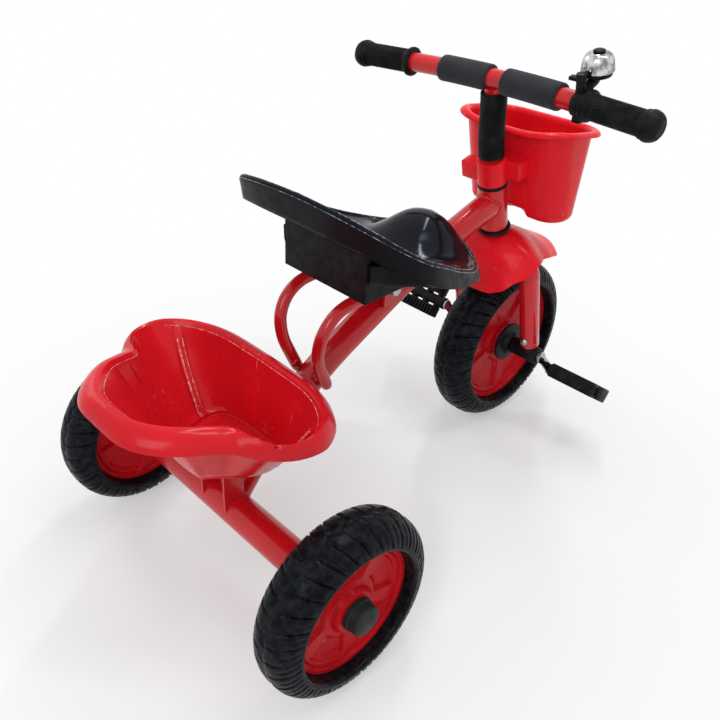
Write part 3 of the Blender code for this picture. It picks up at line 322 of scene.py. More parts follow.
# Each look's material and the slot that it fills
LOOKS = {
    "paint": (enamel(), "red_paint"),
    "red": (moulded("moulded_red", MOULDED_RED, 0.28, 0.12, 0.05, 0.8), "red_plastic"),
    # The tub's darker red is painted shade
    "tub": (moulded("tub_red_shaded", SHADED_TUB_RED, 0.24, 0.14, 0.10, 1.0), "red_plastic"),
    # Pale dots on the tub's crests: painted highlights, with some rubbed wear
    "worn": (glint_and_wear_edge("red_glints_and_wear", SHADED_TUB_RED, (0.90, 0.50, 0.50), 0.15), "red_plastic"),
    # Bluish pale dots on the seat's crests: painted highlights
    "pale_glint": (glint_and_wear_edge("black_glints", SEAT_BLACK, (0.26, 0.29, 0.42), 0.0), "seat_plastic"),
    # The hubs' darker red is painted shade
    "hub": (moulded("hub_red_shaded", SHADED_HUB_RED, 0.26, 0.06, 0.0, 0.6), "red_plastic"),
    "seat": (moulded("seat_black", SEAT_BLACK, 0.12, 0.14, 0.0, 0.10, (0.70, 0.78, 1.0)), "seat_plastic"),
    "skirt": (moulded("seat_skirt", SEAT_BLACK, 0.38, 0.06, 0.0, 0.10), "seat_plastic"),
    "black": (satin_black(), "black_plastic"),
    "grip": (satin_black("grip_black", shade(BLACK, 0.7), 0.50, 1900.0), "black_plastic"),
    "tyre": (tyre_skin(), "tyre_rubber"),
    "foam": (foam_skin(), "foam"),
    "chrome": (plated("chrome", CHROME, 0.10), "chrome"),
    # The bell's bright base with many dark patches paints the dark reflections of its surroundings
    "bell": (plated("bell_chrome", shade(CHROME, 1.4), 0.10, False, 120.0, 0.36), "chrome"),
    "zinc": (plated("zinc", STEEL, 0.30, True), "zinc"),
    "cap": (satin_black("cap_grey", CAP_GREY, 0.46, 1500.0), "grey_cap"),
}


# Shapes: each maker gives a solid, which is a list of points and a list of faces

def join(*solids):
    """Several solids as one."""
    points, faces = [], []
    for some, corners in solids:
        base = len(points)
        points += some
        faces += [tuple(base + i for i in face) for face in corners]
    return points, faces


def moved(solid, matrix):
    points, faces = solid
    return [matrix @ Vector(p) for p in points], faces


def aligned(direction, at):
    """Frame at a point with its +Z along the direction."""
    return Matrix.Translation(Vector(at)) @ Vector(direction).to_track_quat("Z", "Y").to_matrix().to_4x4()


def framed(across, fore, up, origin):
    """Frame at a point with these three axes."""
    made = Matrix((across, fore, up)).transposed().to_4x4()
    made.translation = origin
    return made


def both_ways(half):
    """A profile that repeats its given half below the middle."""
    return half + [(radius, -height) for radius, height in reversed(half)]


def washer(bore, radius, low, high, edge):
    """The profile of a plain ring with its outer corners cut."""
    return [(bore, high), (radius - edge, high), (radius, high - edge), (radius, low + edge),
            (radius - edge, low), (bore, low)]


def mirrored(points):
    return [Vector((-p.x, p.y, p.z)) for p in points]


def flipped(faces):
    return [tuple(reversed(face)) for face in faces]


def make(name, solid, look, body, crease=42, node=None):
    """Puts a solid in the scene as a piece that rides on a body and may stand for a CAD node."""
    points, faces = solid
    mesh = bpy.data.meshes.new(name)
    mesh.from_pydata([Vector(p) + HOME for p in points], [], faces)
    mesh.validate()
    mesh.shade_smooth()
    mesh.set_sharp_from_angle(angle=radians(crease))
    obj = bpy.data.objects.new(name, mesh)
    bpy.context.scene.collection.objects.link(obj)
    material, slot = LOOKS[look]
    mesh.materials.append(material)
    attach(obj, body)
    if node:
        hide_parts(node)
    return obj


def dress(node, solid, look, body, crease):
    """A piece that takes the place of one CAD node."""
    return make(node + "_skin", solid, look, body, crease, node)


def thicken(obj, wall, edge=0.0):
    """Gives a skin its wall, on the inner side, with rounded edges if asked to."""
    shell = obj.modifiers.new("wall", "SOLIDIFY")
    shell.thickness = wall
    shell.offset = -1.0
    if edge:
        soft = obj.modifiers.new("soft edges", "BEVEL")
        soft.width = edge
        soft.segments = 3
        soft.limit_method = "ANGLE"
        soft.angle_limit = radians(50)


def grid_faces(rows, count, wrap_rows=False, wrap_columns=True):
    """Faces between rows of equal count."""
    faces = []
    for r in range(rows if wrap_rows else rows - 1):
        here, there = r * count, (r + 1) % rows * count
        for i in range(count if wrap_columns else count - 1):
            j = (i + 1) % count
            faces.append((here + i, here + j, there + j, there + i))
    return faces


def tube_faces(rows, count):
    """Faces between rows that are closed, with the first and the last row filled."""
    last = (rows - 1) * count
    return grid_faces(rows, count) + [tuple(reversed(range(count))), tuple(range(last, last + count))]


def lathe(outline, around, at, along, ring=False):
    """Turns outline(angle), a list of (radius, height) from the top down, once round an axis."""
    points = []
    for k in range(around):
        angle = 2 * pi * k / around
        for radius, height in outline(angle):
            points.append(Vector((radius * cos(angle), radius * sin(angle), height)))
    count = len(points) // around
    faces = grid_faces(around, count, True, ring)
    if not ring:
        faces.append(tuple(k * count for k in range(around)))
        faces.append(tuple(k * count + count - 1 for k in reversed(range(around))))
    return moved((points, faces), aligned(along, at))


def turned(profile, around, at, along, ring=False):
    """Turns one profile round an axis. A ring is open in the middle."""
    return lathe(lambda angle: profile, around, at, along, ring)


def smooth_line(points, per_span):
    """Points on a smooth curve through the given ones."""
    points = [Vector(p) for p in points]
    ends = [points[0] * 2 - points[1], *points, points[-1] * 2 - points[-2]]
    line = []
    for i in range(1, len(ends) - 2):
        a, b, c, d = ends[i - 1 : i + 3]
        for k in range(per_span):
            t = k / per_span
            line.append(0.5 * ((2 * b) + (c - a) * t + (2 * a - 5 * b + 4 * c - d) * t * t
                               + (3 * b - a - 3 * c + d) * t * t * t))
    line.append(points[-1].copy())
    return line


def straight(start, end, steps):
    return [Vector(start).lerp(Vector(end), k / steps) for k in range(steps + 1)]


def run_at(line, i):
    """From the point before place i of a line to the point after it."""
    return line[min(i + 1, len(line) - 1)] - line[max(i - 1, 0)]


def carried_frames(line):
    """Tangent, side and up at each point of a line, carried along without twist."""
    frames = []
    side = None
    for i in range(len(line)):
        run = run_at(line, i).normalized()
        if side is None:
            side = run.orthogonal().normalized()
            if abs(run.dot(SIDE)) < 0.9:
                side = (SIDE - run * run.dot(SIDE)).normalized()
        side = (side - run * run.dot(side)).normalized()
        frames.append((run, side, run.cross(side)))
    return frames


def sweep(line, radius, sides, edge=0.0):
    """A round bar along a line. radius is a number or a list, edge rounds both ends."""
    radii = [radius] * len(line) if isinstance(radius, float) else radius
    stations = list(zip(line, carried_frames(line), radii))

    def rounded_end(station, inward):
        point, axes, reach = station
        return [(point + axes[0] * inward * edge * (1 - cos(a)), axes, reach - edge * (1 - sin(a)))
                for a in (0.0, pi / 6, pi / 3, pi / 2)]

    if edge:
        last = rounded_end(stations[-1], -1)
        stations = rounded_end(stations[0], 1) + stations[1:-1] + last[::-1]
    points = []
    for point, (run, side, up), reach in stations:
        for k in range(sides):
            angle = 2 * pi * k / sides
            points.append(point + side * reach * cos(angle) + up * reach * sin(angle))
    return points, tube_faces(len(stations), sides)


def rounded_box(low, high, edge, matrix=Matrix.Identity(4), segments=3):
    """A box between two corners with rounded edges, then moved by the matrix."""
    low, high = Vector(low), Vector(high)
    bm = bmesh.new()
    bmesh.ops.create_cube(bm, size=1.0)
    bmesh.ops.scale(bm, vec=high - low, verts=bm.verts)
    bmesh.ops.translate(bm, vec=(low + high) / 2, verts=bm.verts)
    bmesh.ops.bevel(bm, geom=bm.edges[:], offset=edge, segments=segments, affect="EDGES", profile=0.5)
    bm.verts.index_update()
    points = [matrix @ v.co for v in bm.verts]
    faces = [tuple(v.index for v in face.verts) for face in bm.faces]
    bm.free()
    return points, faces


def step_up(value, low, high):
    """0 below low, 1 above high, smooth between."""
    t = min(1.0, max(0.0, (value - low) / (high - low)))
    return t * t * (3 - 2 * t)


def raised(loop, rise):
    return [p + Vector((0, 0, rise)) for p in loop]


def between(first, second, t, rise=0.0):
    """The loop at share t of the way from one loop to another, raised."""
    return raised([a.lerp(b, t) for a, b in zip(first, second)], rise)


def on_axis(z):
    """Point of the steering axis at a height."""
    return Vector((0.0, WHEELBASE - (z - FRONT_R) * tan(RAKE), z))


def steer_frame(origin):
    """Frame at a point of the steering: across, fore and up along its axis."""
    return framed(SIDE, FORE, STEER, origin)


# Wheels

# The crown reaches this far to each side, in rows across. Each block of tread has its steps round the tyre
TREAD_ANGLE = radians(84)
TREAD_ROWS = 48
STEPS_PER_BLOCK = 14
REAR_BLOCKS, FRONT_BLOCKS = 33, 38
SPOKES = 5
# Angle from the first spoke to the start of the hub's turn
SPOKE_TURN = 0.3
POCKET_DEPTH = 0.0042
WEB_ROWS = 34


def tread_depth(turn, across):
    """Depth of the tread at a place round the tyre, in blocks, and across it, from -1 to 1."""
    reach = abs(across)
    phase = turn + (0.5 if across < 0 else 0.0) + 0.62 * reach ** 1.5
    main = abs(phase % 1.0 - 0.5)
    fine = abs((phase * 2.0 + 0.5) % 1.0 - 0.5)
    depth = 0.0018 * (1.0 - step_up(main, 0.035, 0.10)) * step_up(reach, 0.05, 0.11)
    depth += 0.0009 * (1.0 - step_up(fine, 0.05, 0.15)) * step_up(reach, 0.34, 0.46)
    depth *= 1.0 - step_up(reach, 0.93, 0.99)
    zigzag = 0.040 * (2.0 * abs((turn + 0.25) % 1.0 - 0.5) * 2.0 - 1.0)
    depth += 0.0013 * (1.0 - step_up(abs(across - zigzag), 0.012, 0.045))
    return depth


def tyre(name, radius, rim, blocks, centre, body):
    """A hollow tyre, open towards the hub, with its tread cut into the crown."""
    open_r = radius - TYRE_SHOULDER
    flat = TYRE_HALF_W - TYRE_SHOULDER
    side_wall = [(open_r + 0.0012, TYRE_HALF_W), (open_r + 0.0002, TYRE_HALF_W), (open_r - 0.0012, 0.0279),
                 (open_r - 0.0024, 0.0266), (open_r - 0.0030, 0.0235), (rim + 0.0010, 0.0190),
                 (rim + 0.0006, HUB_HALF + 0.0015), (rim + GAP, HUB_HALF + 0.0004)]
    left = [(r, -x) for r, x in reversed(side_wall)]

    def outline(angle):
        turn = angle / (2 * pi) * blocks
        crown = []
        for k in range(TREAD_ROWS + 1):
            across = -1.0 + 2.0 * k / TREAD_ROWS
            lean = across * TREAD_ANGLE
            reach = TYRE_SHOULDER - tread_depth(turn, across) - 0.00003
            x = copysign(flat * min(1.0, abs(across) * 6), across) + reach * sin(lean)
            crown.append((open_r + reach * cos(lean), x))
        return (left + crown + side_wall)[::-1]

    dress(name, lathe(outline, blocks * STEPS_PER_BLOCK, centre, SIDE, True), "tyre", body, 50)


def hub(name, rim, bore, boss_half, centre, body):
    """A moulded wheel centre: rim ring, dished web with pockets between its spokes, round boss."""
    rows = [(rim, HUB_HALF - 0.0008), (rim - 0.0008, HUB_HALF), (rim - 0.0052, HUB_HALF),
            (rim - 0.0060, HUB_HALF - 0.0010), (rim - 0.0068, HUB_HALF - 0.0034),
            (rim - 0.0078, HUB_HALF - 0.0042)]
    web_out, web_in = rim - 0.0084, bore + 0.0195
    for k in range(WEB_ROWS + 1):
        radius = web_out + (web_in - web_out) * k / WEB_ROWS
        rows.append((radius, 0.0102 + 0.0022 * step_up(radius, web_in, web_out)))
    rows += [(bore + 0.0175, 0.0112), (bore + 0.0155, 0.0150), (bore + 0.0145, boss_half - 0.0008),
             (bore + 0.0135, boss_half), (bore + 0.0010, boss_half), (bore, boss_half - 0.0008)]
    pitch = 2 * pi / SPOKES

    def outline(angle):
        off_spoke = (angle + SPOKE_TURN + pitch / 2) % pitch - pitch / 2
        face = []
        for radius, x in rows:
            spoke_half = 0.0058 + 0.0035 * step_up(radius, web_in, web_out)
            pocket = step_up(radius * abs(sin(off_spoke)), spoke_half, spoke_half + 0.0032)
            pocket *= step_up(radius, web_in + 0.004, web_in + 0.009)
            pocket *= 1 - step_up(radius, web_out - 0.006, web_out - 0.002)
            face.append((radius, x - POCKET_DEPTH * pocket))
        return both_ways(face)

    dress(name, lathe(outline, 240, centre, SIDE, True), "hub", body, 32)


def rear_wheels():
    face = TRACK / 2 + BOSS_HALF + 0.0005
    long = HALF_WIDTH - face
    cap = [(0.0150, long), (0.0158, long - 0.0004), (0.0163, long - 0.0012), (0.0165, long - 0.0024),
           (0.0165, 0.0062), (0.0168, 0.0054), (0.0176, 0.0050), (0.0180, 0.0044), (0.0180, 0.0),
           (AXLE_ROD_R + GAP, 0.0)]
    for side, sign in SIDES:
        centre = Vector((sign * TRACK / 2, 0.0, REAR_R))
        body = "rear_wheel_" + side
        tyre("rear_tyre_" + side, REAR_R, REAR_RIM, REAR_BLOCKS, centre, body)
        hub("rear_hub_" + side, REAR_RIM, REAR_BORE, BOSS_HALF, centre, body)
        solid = turned(cap, 64, (sign * face, 0, REAR_R), (sign, 0, 0))
        dress("rear_axle_cap_" + side, solid, "cap", "frame", 30)


def front_wheel():
    tyre("front_tyre", FRONT_R, FRONT_RIM, FRONT_BLOCKS, FRONT_AXLE, "front_wheel")
    hub("front_hub", FRONT_RIM, CRANK_ROD_R + GAP, FRONT_BOSS_HALF, FRONT_AXLE, "front_wheel")
    flange = [(0.0105, 0.0105), (0.0134, 0.0105), (0.0140, 0.0099), (0.0148, 0.0066), (0.0165, 0.0048),
              (0.0262, 0.0032), (0.0270, 0.0024), (0.0270, 0.0), (0.0105, 0.0)]
    for side, sign in SIDES:
        solid = turned(flange, 72, FRONT_AXLE + SIDE * sign * (FRONT_BOSS_HALF + GAP), (sign, 0, 0), True)
        dress("hub_flange_" + side, solid, "black", "front_wheel", 30)


# Frame

# Steps round a seam, and how far before its tube's end its lines start
SEAM_STEPS = 60
SEAM_RUN_UP = 0.06
# Middle of the seat loops' welds, and how far they weave along the loop
WELD_X = 0.0172
WELD_WEAVE = 0.0070
MAIN_MEETS_HEAD_Z = 0.3300


def weld_bead(name, line, radius):
    """A painted weld: a slightly uneven round bead along a line."""
    radii = [radius * (1.0 + 0.16 * sin(2.6 * k) + 0.08 * sin(7.1 * k + 1.0))
             for k in range(len(line))]
    make(name, sweep(line, radii, 14), "paint", "frame")


def meet_cylinder(start, direction, centre, axis, radius):
    """Where a line from start runs into a cylinder."""
    off = start - centre
    flat_off = off - axis * off.dot(axis)
    flat_run = direction - axis * direction.dot(axis)
    a = flat_run.dot(flat_run)
    b = 2 * flat_off.dot(flat_run)
    c = flat_off.dot(flat_off) - radius * radius
    root = sqrt(max(0.0, b * b - 4 * a * c))
    return start + direction * ((-b - root) / (2 * a))


def seam(end, run, centre, axis, radius):
    """The line on which the main tube, running on from its end, meets a cylinder."""
    line = []
    for k in range(SEAM_STEPS + 1):
        angle = 2 * pi * k / SEAM_STEPS
        ring = (SIDE * cos(angle) + run.cross(SIDE) * sin(angle)) * MAIN_TUBE_R
        line.append(meet_cylinder(end - run * SEAM_RUN_UP + ring, run, centre, axis, radius))
    return line


MAIN_POINTS = [(0, y, z) for y, z in (
    (0.4174, 0.3325), (0.363, 0.316), (0.310, 0.2985), (0.260, 0.2782), (0.200, 0.2500), (0.140, 0.2190),
    (0.090, 0.1840), (0.050, 0.1490), (0.020, 0.1140), (0.004, 0.0940))]
LOOP_HALF = [(0.0239, 0.1260, 0.2060), (0.0239, 0.1195, 0.2200), (0.0250, 0.1130, 0.2350),
             (0.0272, 0.1075, 0.2500), (0.0300, 0.1055, 0.2650), (0.0325, 0.1070, 0.2800),
             (0.0344, 0.1140, 0.2940), (0.0355, 0.1250, 0.3040), (0.0366, 0.1400, 0.3095),
             (0.0370, 0.1600, 0.3108), (0.0370, 0.1850, 0.3108)]


def main_tube():
    """The main tube with the head tube and the axle beam that it joins, and their welds."""
    line = smooth_line(MAIN_POINTS, 8)
    dress("main_tube", sweep(line, MAIN_TUBE_R, 48), "paint", "frame", 60)
    low, high = on_axis(HEAD_LOW_Z), on_axis(HEAD_TOP_Z)
    head = washer(HEAD_BORE, HEAD_R, 0.0, (high - low).length, 0.0005)
    dress("head_tube", turned(head, 72, low, STEER, True), "paint", "frame", 30)
    beam = washer(BEAM_BORE, BEAM_R, -BEAM_HALF, BEAM_HALF, 0.0006)
    dress("rear_axle_beam", turned(beam, 72, (0, 0, REAR_R), SIDE, True), "paint", "frame", 30)
    forward = (line[0] - line[4]).normalized()
    weld_bead("head_weld", seam(line[0], forward, on_axis(MAIN_MEETS_HEAD_Z), STEER, HEAD_R), 0.0021)
    backward = (line[-1] - line[-6]).normalized()
    weld_bead("beam_weld", seam(line[-1], backward, Vector((0, 0, REAR_R)), SIDE, BEAM_R), 0.0023)


def seat_loops():
    for side, sign in SIDES:
        line = smooth_line([(sign * x, y, z) for x, y, z in LOOP_HALF], 6)
        radii = [LOOP_R * (0.55 + 0.45 * sqrt(1 - (1 - min(1.0, k / 5)) ** 2)) for k in range(len(line))]
        dress("seat_loop_" + side, sweep(line, radii, 32), "paint", "frame", 60)
        bead = []
        for k in range(19):
            point = line[0].lerp(line[8], k / 18)
            weave = WELD_WEAVE * sin(pi * k / 9)
            bead.append(Vector((sign * WELD_X, point.y + weave, point.z)))
        weld_bead("loop_weld_" + side, bead, 0.0024)


def head_bushes():
    bore = STEM_R + GAP
    lower = [(0.0200, -GAP), (0.0205, -0.0008), (0.0209, -0.0036), (0.0204, -0.0040), (bore, -0.0040),
             (bore, -GAP)]
    upper = [(0.0174, 0.0042), (0.0180, 0.0037), (0.0182, 0.0007), (0.0178, GAP), (bore, GAP), (bore, 0.0042)]
    for name, profile, z in (("lower", lower, HEAD_LOW_Z), ("upper", upper, HEAD_TOP_Z)):
        dress("head_bush_" + name, turned(profile, 64, on_axis(z), STEER, True), "black", "frame", 30)


# Loops of moulded shells

def mirrored_loop(half, per_span):
    """A closed loop from a half outline that starts and ends on the middle plane."""
    line = smooth_line(half, per_span)
    line[0].x = line[-1].x = 0.0
    return line + mirrored(reversed(line[1:-1]))


def outward(loop, distance, rise=0.0):
    """The loop moved out along its own plan normals, and up."""
    centre = sum(loop, Vector()) / len(loop)
    spread = []
    for before, point, after in zip(loop[-1:] + loop, loop, loop[1:] + loop[:1]):
        run = after - before
        side = Vector((run.y, -run.x, 0.0)).normalized()
        if side.dot(point - centre) < 0:
            side = -side
        spread.append(point + side * distance)
    return raised(spread, rise)


def skin(loops):
    """Faces from loop to loop, with the first loop closed."""
    points = [p for loop in loops for p in loop]
    count = len(loops[0])
    points.append(sum(loops[0], Vector()) / count)
    closing = [((i + 1) % count, i, len(points) - 1) for i in range(count)]
    return points, grid_faces(len(loops), count) + closing


def refined(loops, per_span):
    """Loops in between, smooth from loop to loop."""
    columns = [smooth_line([loop[i] for loop in loops], per_span) for i in range(len(loops[0]))]
    return [[column[k] for column in columns] for k in range(len(columns[0]))]


# Rear tub: floor's edge, inner edge of the rim and lower edge of its flange, back to front
TUB_FLOOR_Z = 0.1700
TUB_ROWS = [((0, -0.0470), (0, -0.1200, 0.2850), (0, -0.1366, 0.2730)),
            ((0.012, -0.0468), (0.028, -0.1165, 0.2848), (0.034, -0.1346, 0.2722)),
            ((0.0215, -0.0452), (0.0505, -0.1025, 0.2838), (0.0585, -0.1222, 0.2705)),
            ((0.028, -0.0390), (0.0665, -0.0845, 0.2825), (0.0785, -0.0995, 0.2685)),
            ((0.033, -0.0325), (0.0745, -0.0640, 0.2780), (0.0885, -0.0770, 0.2645)),
            ((0.038, -0.0265), (0.083, -0.0475, 0.2730), (0.0970, -0.0570, 0.2590)),
            ((0.045, -0.0180), (0.105, -0.0405, 0.2700), (0.1150, -0.0400, 0.2550)),
            ((0.052, -0.0070), (0.123, -0.0270, 0.2655), (0.1290, -0.0180, 0.2510)),
            ((0.057, 0.0090), (0.131, -0.0040, 0.2635), (0.1360, 0.0040, 0.2500)),
            ((0.056, 0.0280), (0.126, 0.0180, 0.2630), (0.1330, 0.0240, 0.2490)),
            ((0.047, 0.0410), (0.104, 0.0400, 0.2615), (0.1120, 0.0500, 0.2475)),
            ((0.025, 0.0465), (0.066, 0.0545, 0.2600), (0.0700, 0.0690, 0.2460)),
            ((0, 0.0470), (0, 0.0570, 0.2600), (0, 0.0720, 0.2460))]
TUB_STEPS = 8
# The raised strip in each front corner: its middle at the floor and at the rim, counted in rows of the
# half outline, and the two rows between which it stays
RIDGE_LOW, RIDGE_TOP = 8.28, 9.44
RIDGE_AFTER, RIDGE_BEFORE = 7, 11
RIDGE_HEIGHT = 0.0026
# The back corner's fold: its row and how far it goes in
FOLD_ROW = 2.25
FOLD_DEPTH = 0.0018
# Two slots in each side, cut aslant through the wall: middle, half size and turn
SLOTS = ((0.0710, -0.0630, 0.2590), (0.0640, -0.0800, 0.2600))
SLOT_HALF = Vector((0.0200, 0.0009, 0.0110))
SLOT_TURN = radians(40)


def ridge_middle(t):
    return RIDGE_LOW + (RIDGE_TOP - RIDGE_LOW) * t


def ridge_share(t):
    """How much of the strip's height there is at share t of the wall."""
    return step_up(t, 0.06, 0.14) * (1 - step_up(t, 0.86, 0.96))


def ridged(loop, t):
    """The tub's loop at share t of the wall, with a strip in each front corner and a fold in each back one.

    The strip leans: it starts nearer the side at the floor and ends nearer the front at the rim.
    """
    centre = sum(loop, Vector()) / len(loop)
    middle = ridge_middle(t)
    half = 0.20 - 0.07 * t
    start, end = middle - half, middle + half
    height = RIDGE_HEIGHT * ridge_share(t)
    last = len(TUB_ROWS) - 1
    places = [(k / TUB_STEPS, 0.0) for k in range(RIDGE_AFTER * TUB_STEPS)]
    places += [(RIDGE_AFTER + (start - RIDGE_AFTER) * k / 8, 0.0) for k in range(8)]
    places += [(start, 0.0), (start + 0.02, height), (middle, height * 0.8), (end - 0.02, height), (end, 0.0)]
    places += [(end + (RIDGE_BEFORE - end) * k / 9, 0.0) for k in range(1, 9)]
    places += [(k / TUB_STEPS, 0.0) for k in range(RIDGE_BEFORE * TUB_STEPS, last * TUB_STEPS + 1)]
    side = []
    for place, lift in places:
        k = min(int(place * TUB_STEPS), last * TUB_STEPS - 1)
        point = loop[k].lerp(loop[k + 1], place * TUB_STEPS - k)
        inward = Vector((centre.x - point.x, centre.y - point.y, 0)).normalized()
        fold = max(0.0, 1 - abs(place - FOLD_ROW) / 0.6) * (1 - step_up(t, 0.55, 0.85))
        side.append(point + inward * (lift - FOLD_DEPTH * fold))
    return side + mirrored(reversed(side[1:-1]))


def carve(obj, solids, crease):
    """Cuts solids out of a piece, keeping its finished mesh alone."""
    cutters = []
    for points, faces in solids:
        mesh = bpy.data.meshes.new("cutter")
        mesh.from_pydata([Vector(p) + HOME for p in points], [], faces)
        cutter = bpy.data.objects.new("cutter", mesh)
        bpy.context.scene.collection.objects.link(cutter)
        cutters.append(cutter)
        step = obj.modifiers.new("cut", "BOOLEAN")
        step.object = cutter
        step.solver = "EXACT"
    bpy.context.view_layer.update()
    finished = bpy.data.meshes.new_from_object(obj.evaluated_get(bpy.context.evaluated_depsgraph_get()))
    obj.modifiers.clear()
    obj.data = finished
    finished.set_sharp_from_angle(angle=radians(crease))
    for cutter in cutters:
        bpy.data.objects.remove(cutter)


def rear_tub():
    halves = zip(*[((*plan, TUB_FLOOR_Z), inner, lower) for plan, inner, lower in TUB_ROWS])
    floor, rim, flange = (mirrored_loop(half, TUB_STEPS) for half in halves)
    rows = [(outward(floor, -0.0060), 0.0), (outward(floor, -0.0022, 0.0004), 0.0),
            (outward(floor, -0.0003, 0.0020), 0.0), (raised(floor, 0.0050), 0.03)]
    rows += [(between(floor, rim, t), t) for t in (0.08, 0.14, 0.25, 0.38, 0.5, 0.62, 0.74, 0.84, 0.90, 0.96)]
    rolled = ((0.02, 0.0002), (0.10, 0.0028), (0.24, 0.0050), (0.42, 0.0062), (0.60, 0.0064), (0.76, 0.0058),
              (0.90, 0.0042), (0.97, 0.0022), (1.0, 0.0))
    rows += [(between(rim, flange, t, rise), 1.0) for t, rise in rolled]
    tub = dress("rear_basket", skin([ridged(loop, t) for loop, t in rows]), "tub", "frame", 30)
    thicken(tub, TUB_WALL)
    carve(tub, [rounded_box(-SLOT_HALF, SLOT_HALF, 0.0006,
                            Matrix.Translation((sign * x, y, z)) @ Matrix.Rotation(-sign * SLOT_TURN, 4, "Z"))
                for sign in (1, -1) for x, y, z in SLOTS], 30)
    tub_crests(floor, rim)


def tub_crests(floor, rim):
    """Thin lines on the tub with pale dots, painted highlights and rubbed wear: both edges of each strip, and
    the inner edge of the rim.
    """
    beads = []
    for edge, reach in ((-1, 0.00105), (1, 0.00055)):
        line = []
        for k in range(25):
            t = 0.10 + 0.76 * k / 24
            place = (ridge_middle(t) + edge * (0.17 - 0.07 * t)) * TUB_STEPS
            row = int(place)
            wall = between(floor[row : row + 2], rim[row : row + 2], t)
            point = wall[0].lerp(wall[1], place - row)
            inward = Vector((-point.x, -point.y - 0.01, 0)).normalized()
            line.append(point + inward * (0.0024 * ridge_share(t) + TUB_WALL * 1.2))
        beads += [sweep(line, reach, 10), sweep(mirrored(line), reach, 10)]
    crest = outward(between(floor, rim, 0.985), -TUB_WALL)
    beads.append(sweep(crest + crest[:1], 0.00038, 8))
    make("rear_basket_crests", join(*beads), "worn", "frame", 50)


# Seat: the skirt's lower edge and the rim's crest, back to front
SEAT_LOW = [(0, 0.108, 0.3960), (0.052, 0.108, 0.3955), (0.094, 0.113, 0.3925),
            (0.119, 0.128, 0.3830), (0.131, 0.150, 0.3690), (0.130, 0.180, 0.3530),
            (0.122, 0.212, 0.3390), (0.112, 0.247, 0.3265), (0.096, 0.280, 0.3175),
            (0.070, 0.307, 0.3130), (0.038, 0.327, 0.3140), (0, 0.334, 0.3160)]
SEAT_RIM = [(0, 0.104, 0.4300), (0.052, 0.104, 0.4280), (0.092, 0.110, 0.4210),
            (0.114, 0.126, 0.4070), (0.124, 0.152, 0.3890), (0.122, 0.182, 0.3730),
            (0.115, 0.212, 0.3560), (0.104, 0.250, 0.3380), (0.087, 0.278, 0.3280),
            (0.062, 0.303, 0.3235), (0.034, 0.321, 0.3250), (0, 0.327, 0.3270)]
# Walls under the pan, from the riser's corner round to the front: the lower edge and the height above it
SEAT_UNDER = [(0.0625, 0.1415, 0.3440, 0.0220), (0.0670, 0.1610, 0.3370, 0.0230),
              (0.0745, 0.1751, 0.3344, 0.0190), (0.0820, 0.1890, 0.3325, 0.0170),
              (0.0900, 0.2026, 0.3300, 0.0170), (0.0930, 0.2200, 0.3240, 0.0175),
              (0.0900, 0.2400, 0.3190, 0.0165), (0.0820, 0.2620, 0.3155, 0.0140),
              (0.0700, 0.2820, 0.3140, 0.0120)]
PAN = Vector((0.0, 0.205, 0.3300))
# The hump in front: its place along the seat, half width, half length and height
HUMP = (0.311, 0.0475, 0.0640, 0.0320)
SEAT_STEPS = 7
PAN_ROWS = 26
# Rows of faces from here out, below the rim, have the skirt's look
SKIRT_ROW = 30


def pan_point(rim_point, t):
    """A place of the pan at share t of the way from its middle to the rim."""
    point = PAN.lerp(rim_point, t)
    point.z = PAN.z + (rim_point.z - PAN.z) * t ** 1.7
    along, wide, long, high = HUMP
    fall = abs(point.x / wide) ** 2.94 + abs((point.y - along) / long) ** 2.94
    point.z += high * exp(-fall) * (1.0 - t ** 11.9)
    return point


def bucket_seat():
    low = mirrored_loop(SEAT_LOW, SEAT_STEPS)
    rim = mirrored_loop(SEAT_RIM, SEAT_STEPS)
    loops = [[pan_point(p, 0.04 + 0.92 * k / PAN_ROWS) for p in rim] for k in range(PAN_ROWS + 1)]
    edge = outward(rim, 0.0035)
    brim = [raised(rim, 0.0022), between(edge, low, 0.06, 0.0005), between(edge, low, 0.30),
            between(edge, low, 0.60), low]
    loops += refined(loops[-1:] + brim, 3)[1:]
    points, faces = skin(loops)
    seat = dress("seat", (points, flipped(faces)), "seat", "frame", 70)
    seat.data.materials.append(LOOKS["skirt"][0])
    for row, face in ((index // len(rim), face) for index, face in enumerate(seat.data.polygons)):
        face.material_index = int(SKIRT_ROW <= row < len(loops) - 1)
    thicken(seat, SEAT_WALL)
    # Thin lines along the rim's crest, with pale bluish dots that paint its highlights
    crests = [sweep(loop + loop[:1], reach, 8) for loop, reach in ((brim[0], 0.00050), (brim[1], 0.00038))]
    make("seat_crests", join(*crests), "pale_glint", "frame", 50)


def seat_under_walls():
    """Two thin walls under the pan, swept along their lower edge."""
    walls = []
    for sign in (1, -1):
        line = smooth_line([(sign * x, y, z, height) for x, y, z, height in SEAT_UNDER], 6)
        points = []
        for i, foot in enumerate(line):
            run = run_at(line, i)
            out = Vector((run.y, -run.x, 0.0)).normalized() * sign
            section = ((-0.0012, 0.0003), (0.0003, 0.0), (0.0016, 0.0014), (0.0030, 0.0060), (0.0036, foot.w),
                       (-0.0030, foot.w), (-0.0018, 0.0060))
            points += [foot.to_3d() + out * aside + Vector((0, 0, lift)) for aside, lift in section]
        faces = tube_faces(len(line), len(section))
        walls.append((points, flipped(faces) if sign > 0 else faces))
    make("seat_under_walls", join(*walls), "skirt", "frame", 50)


# Steering

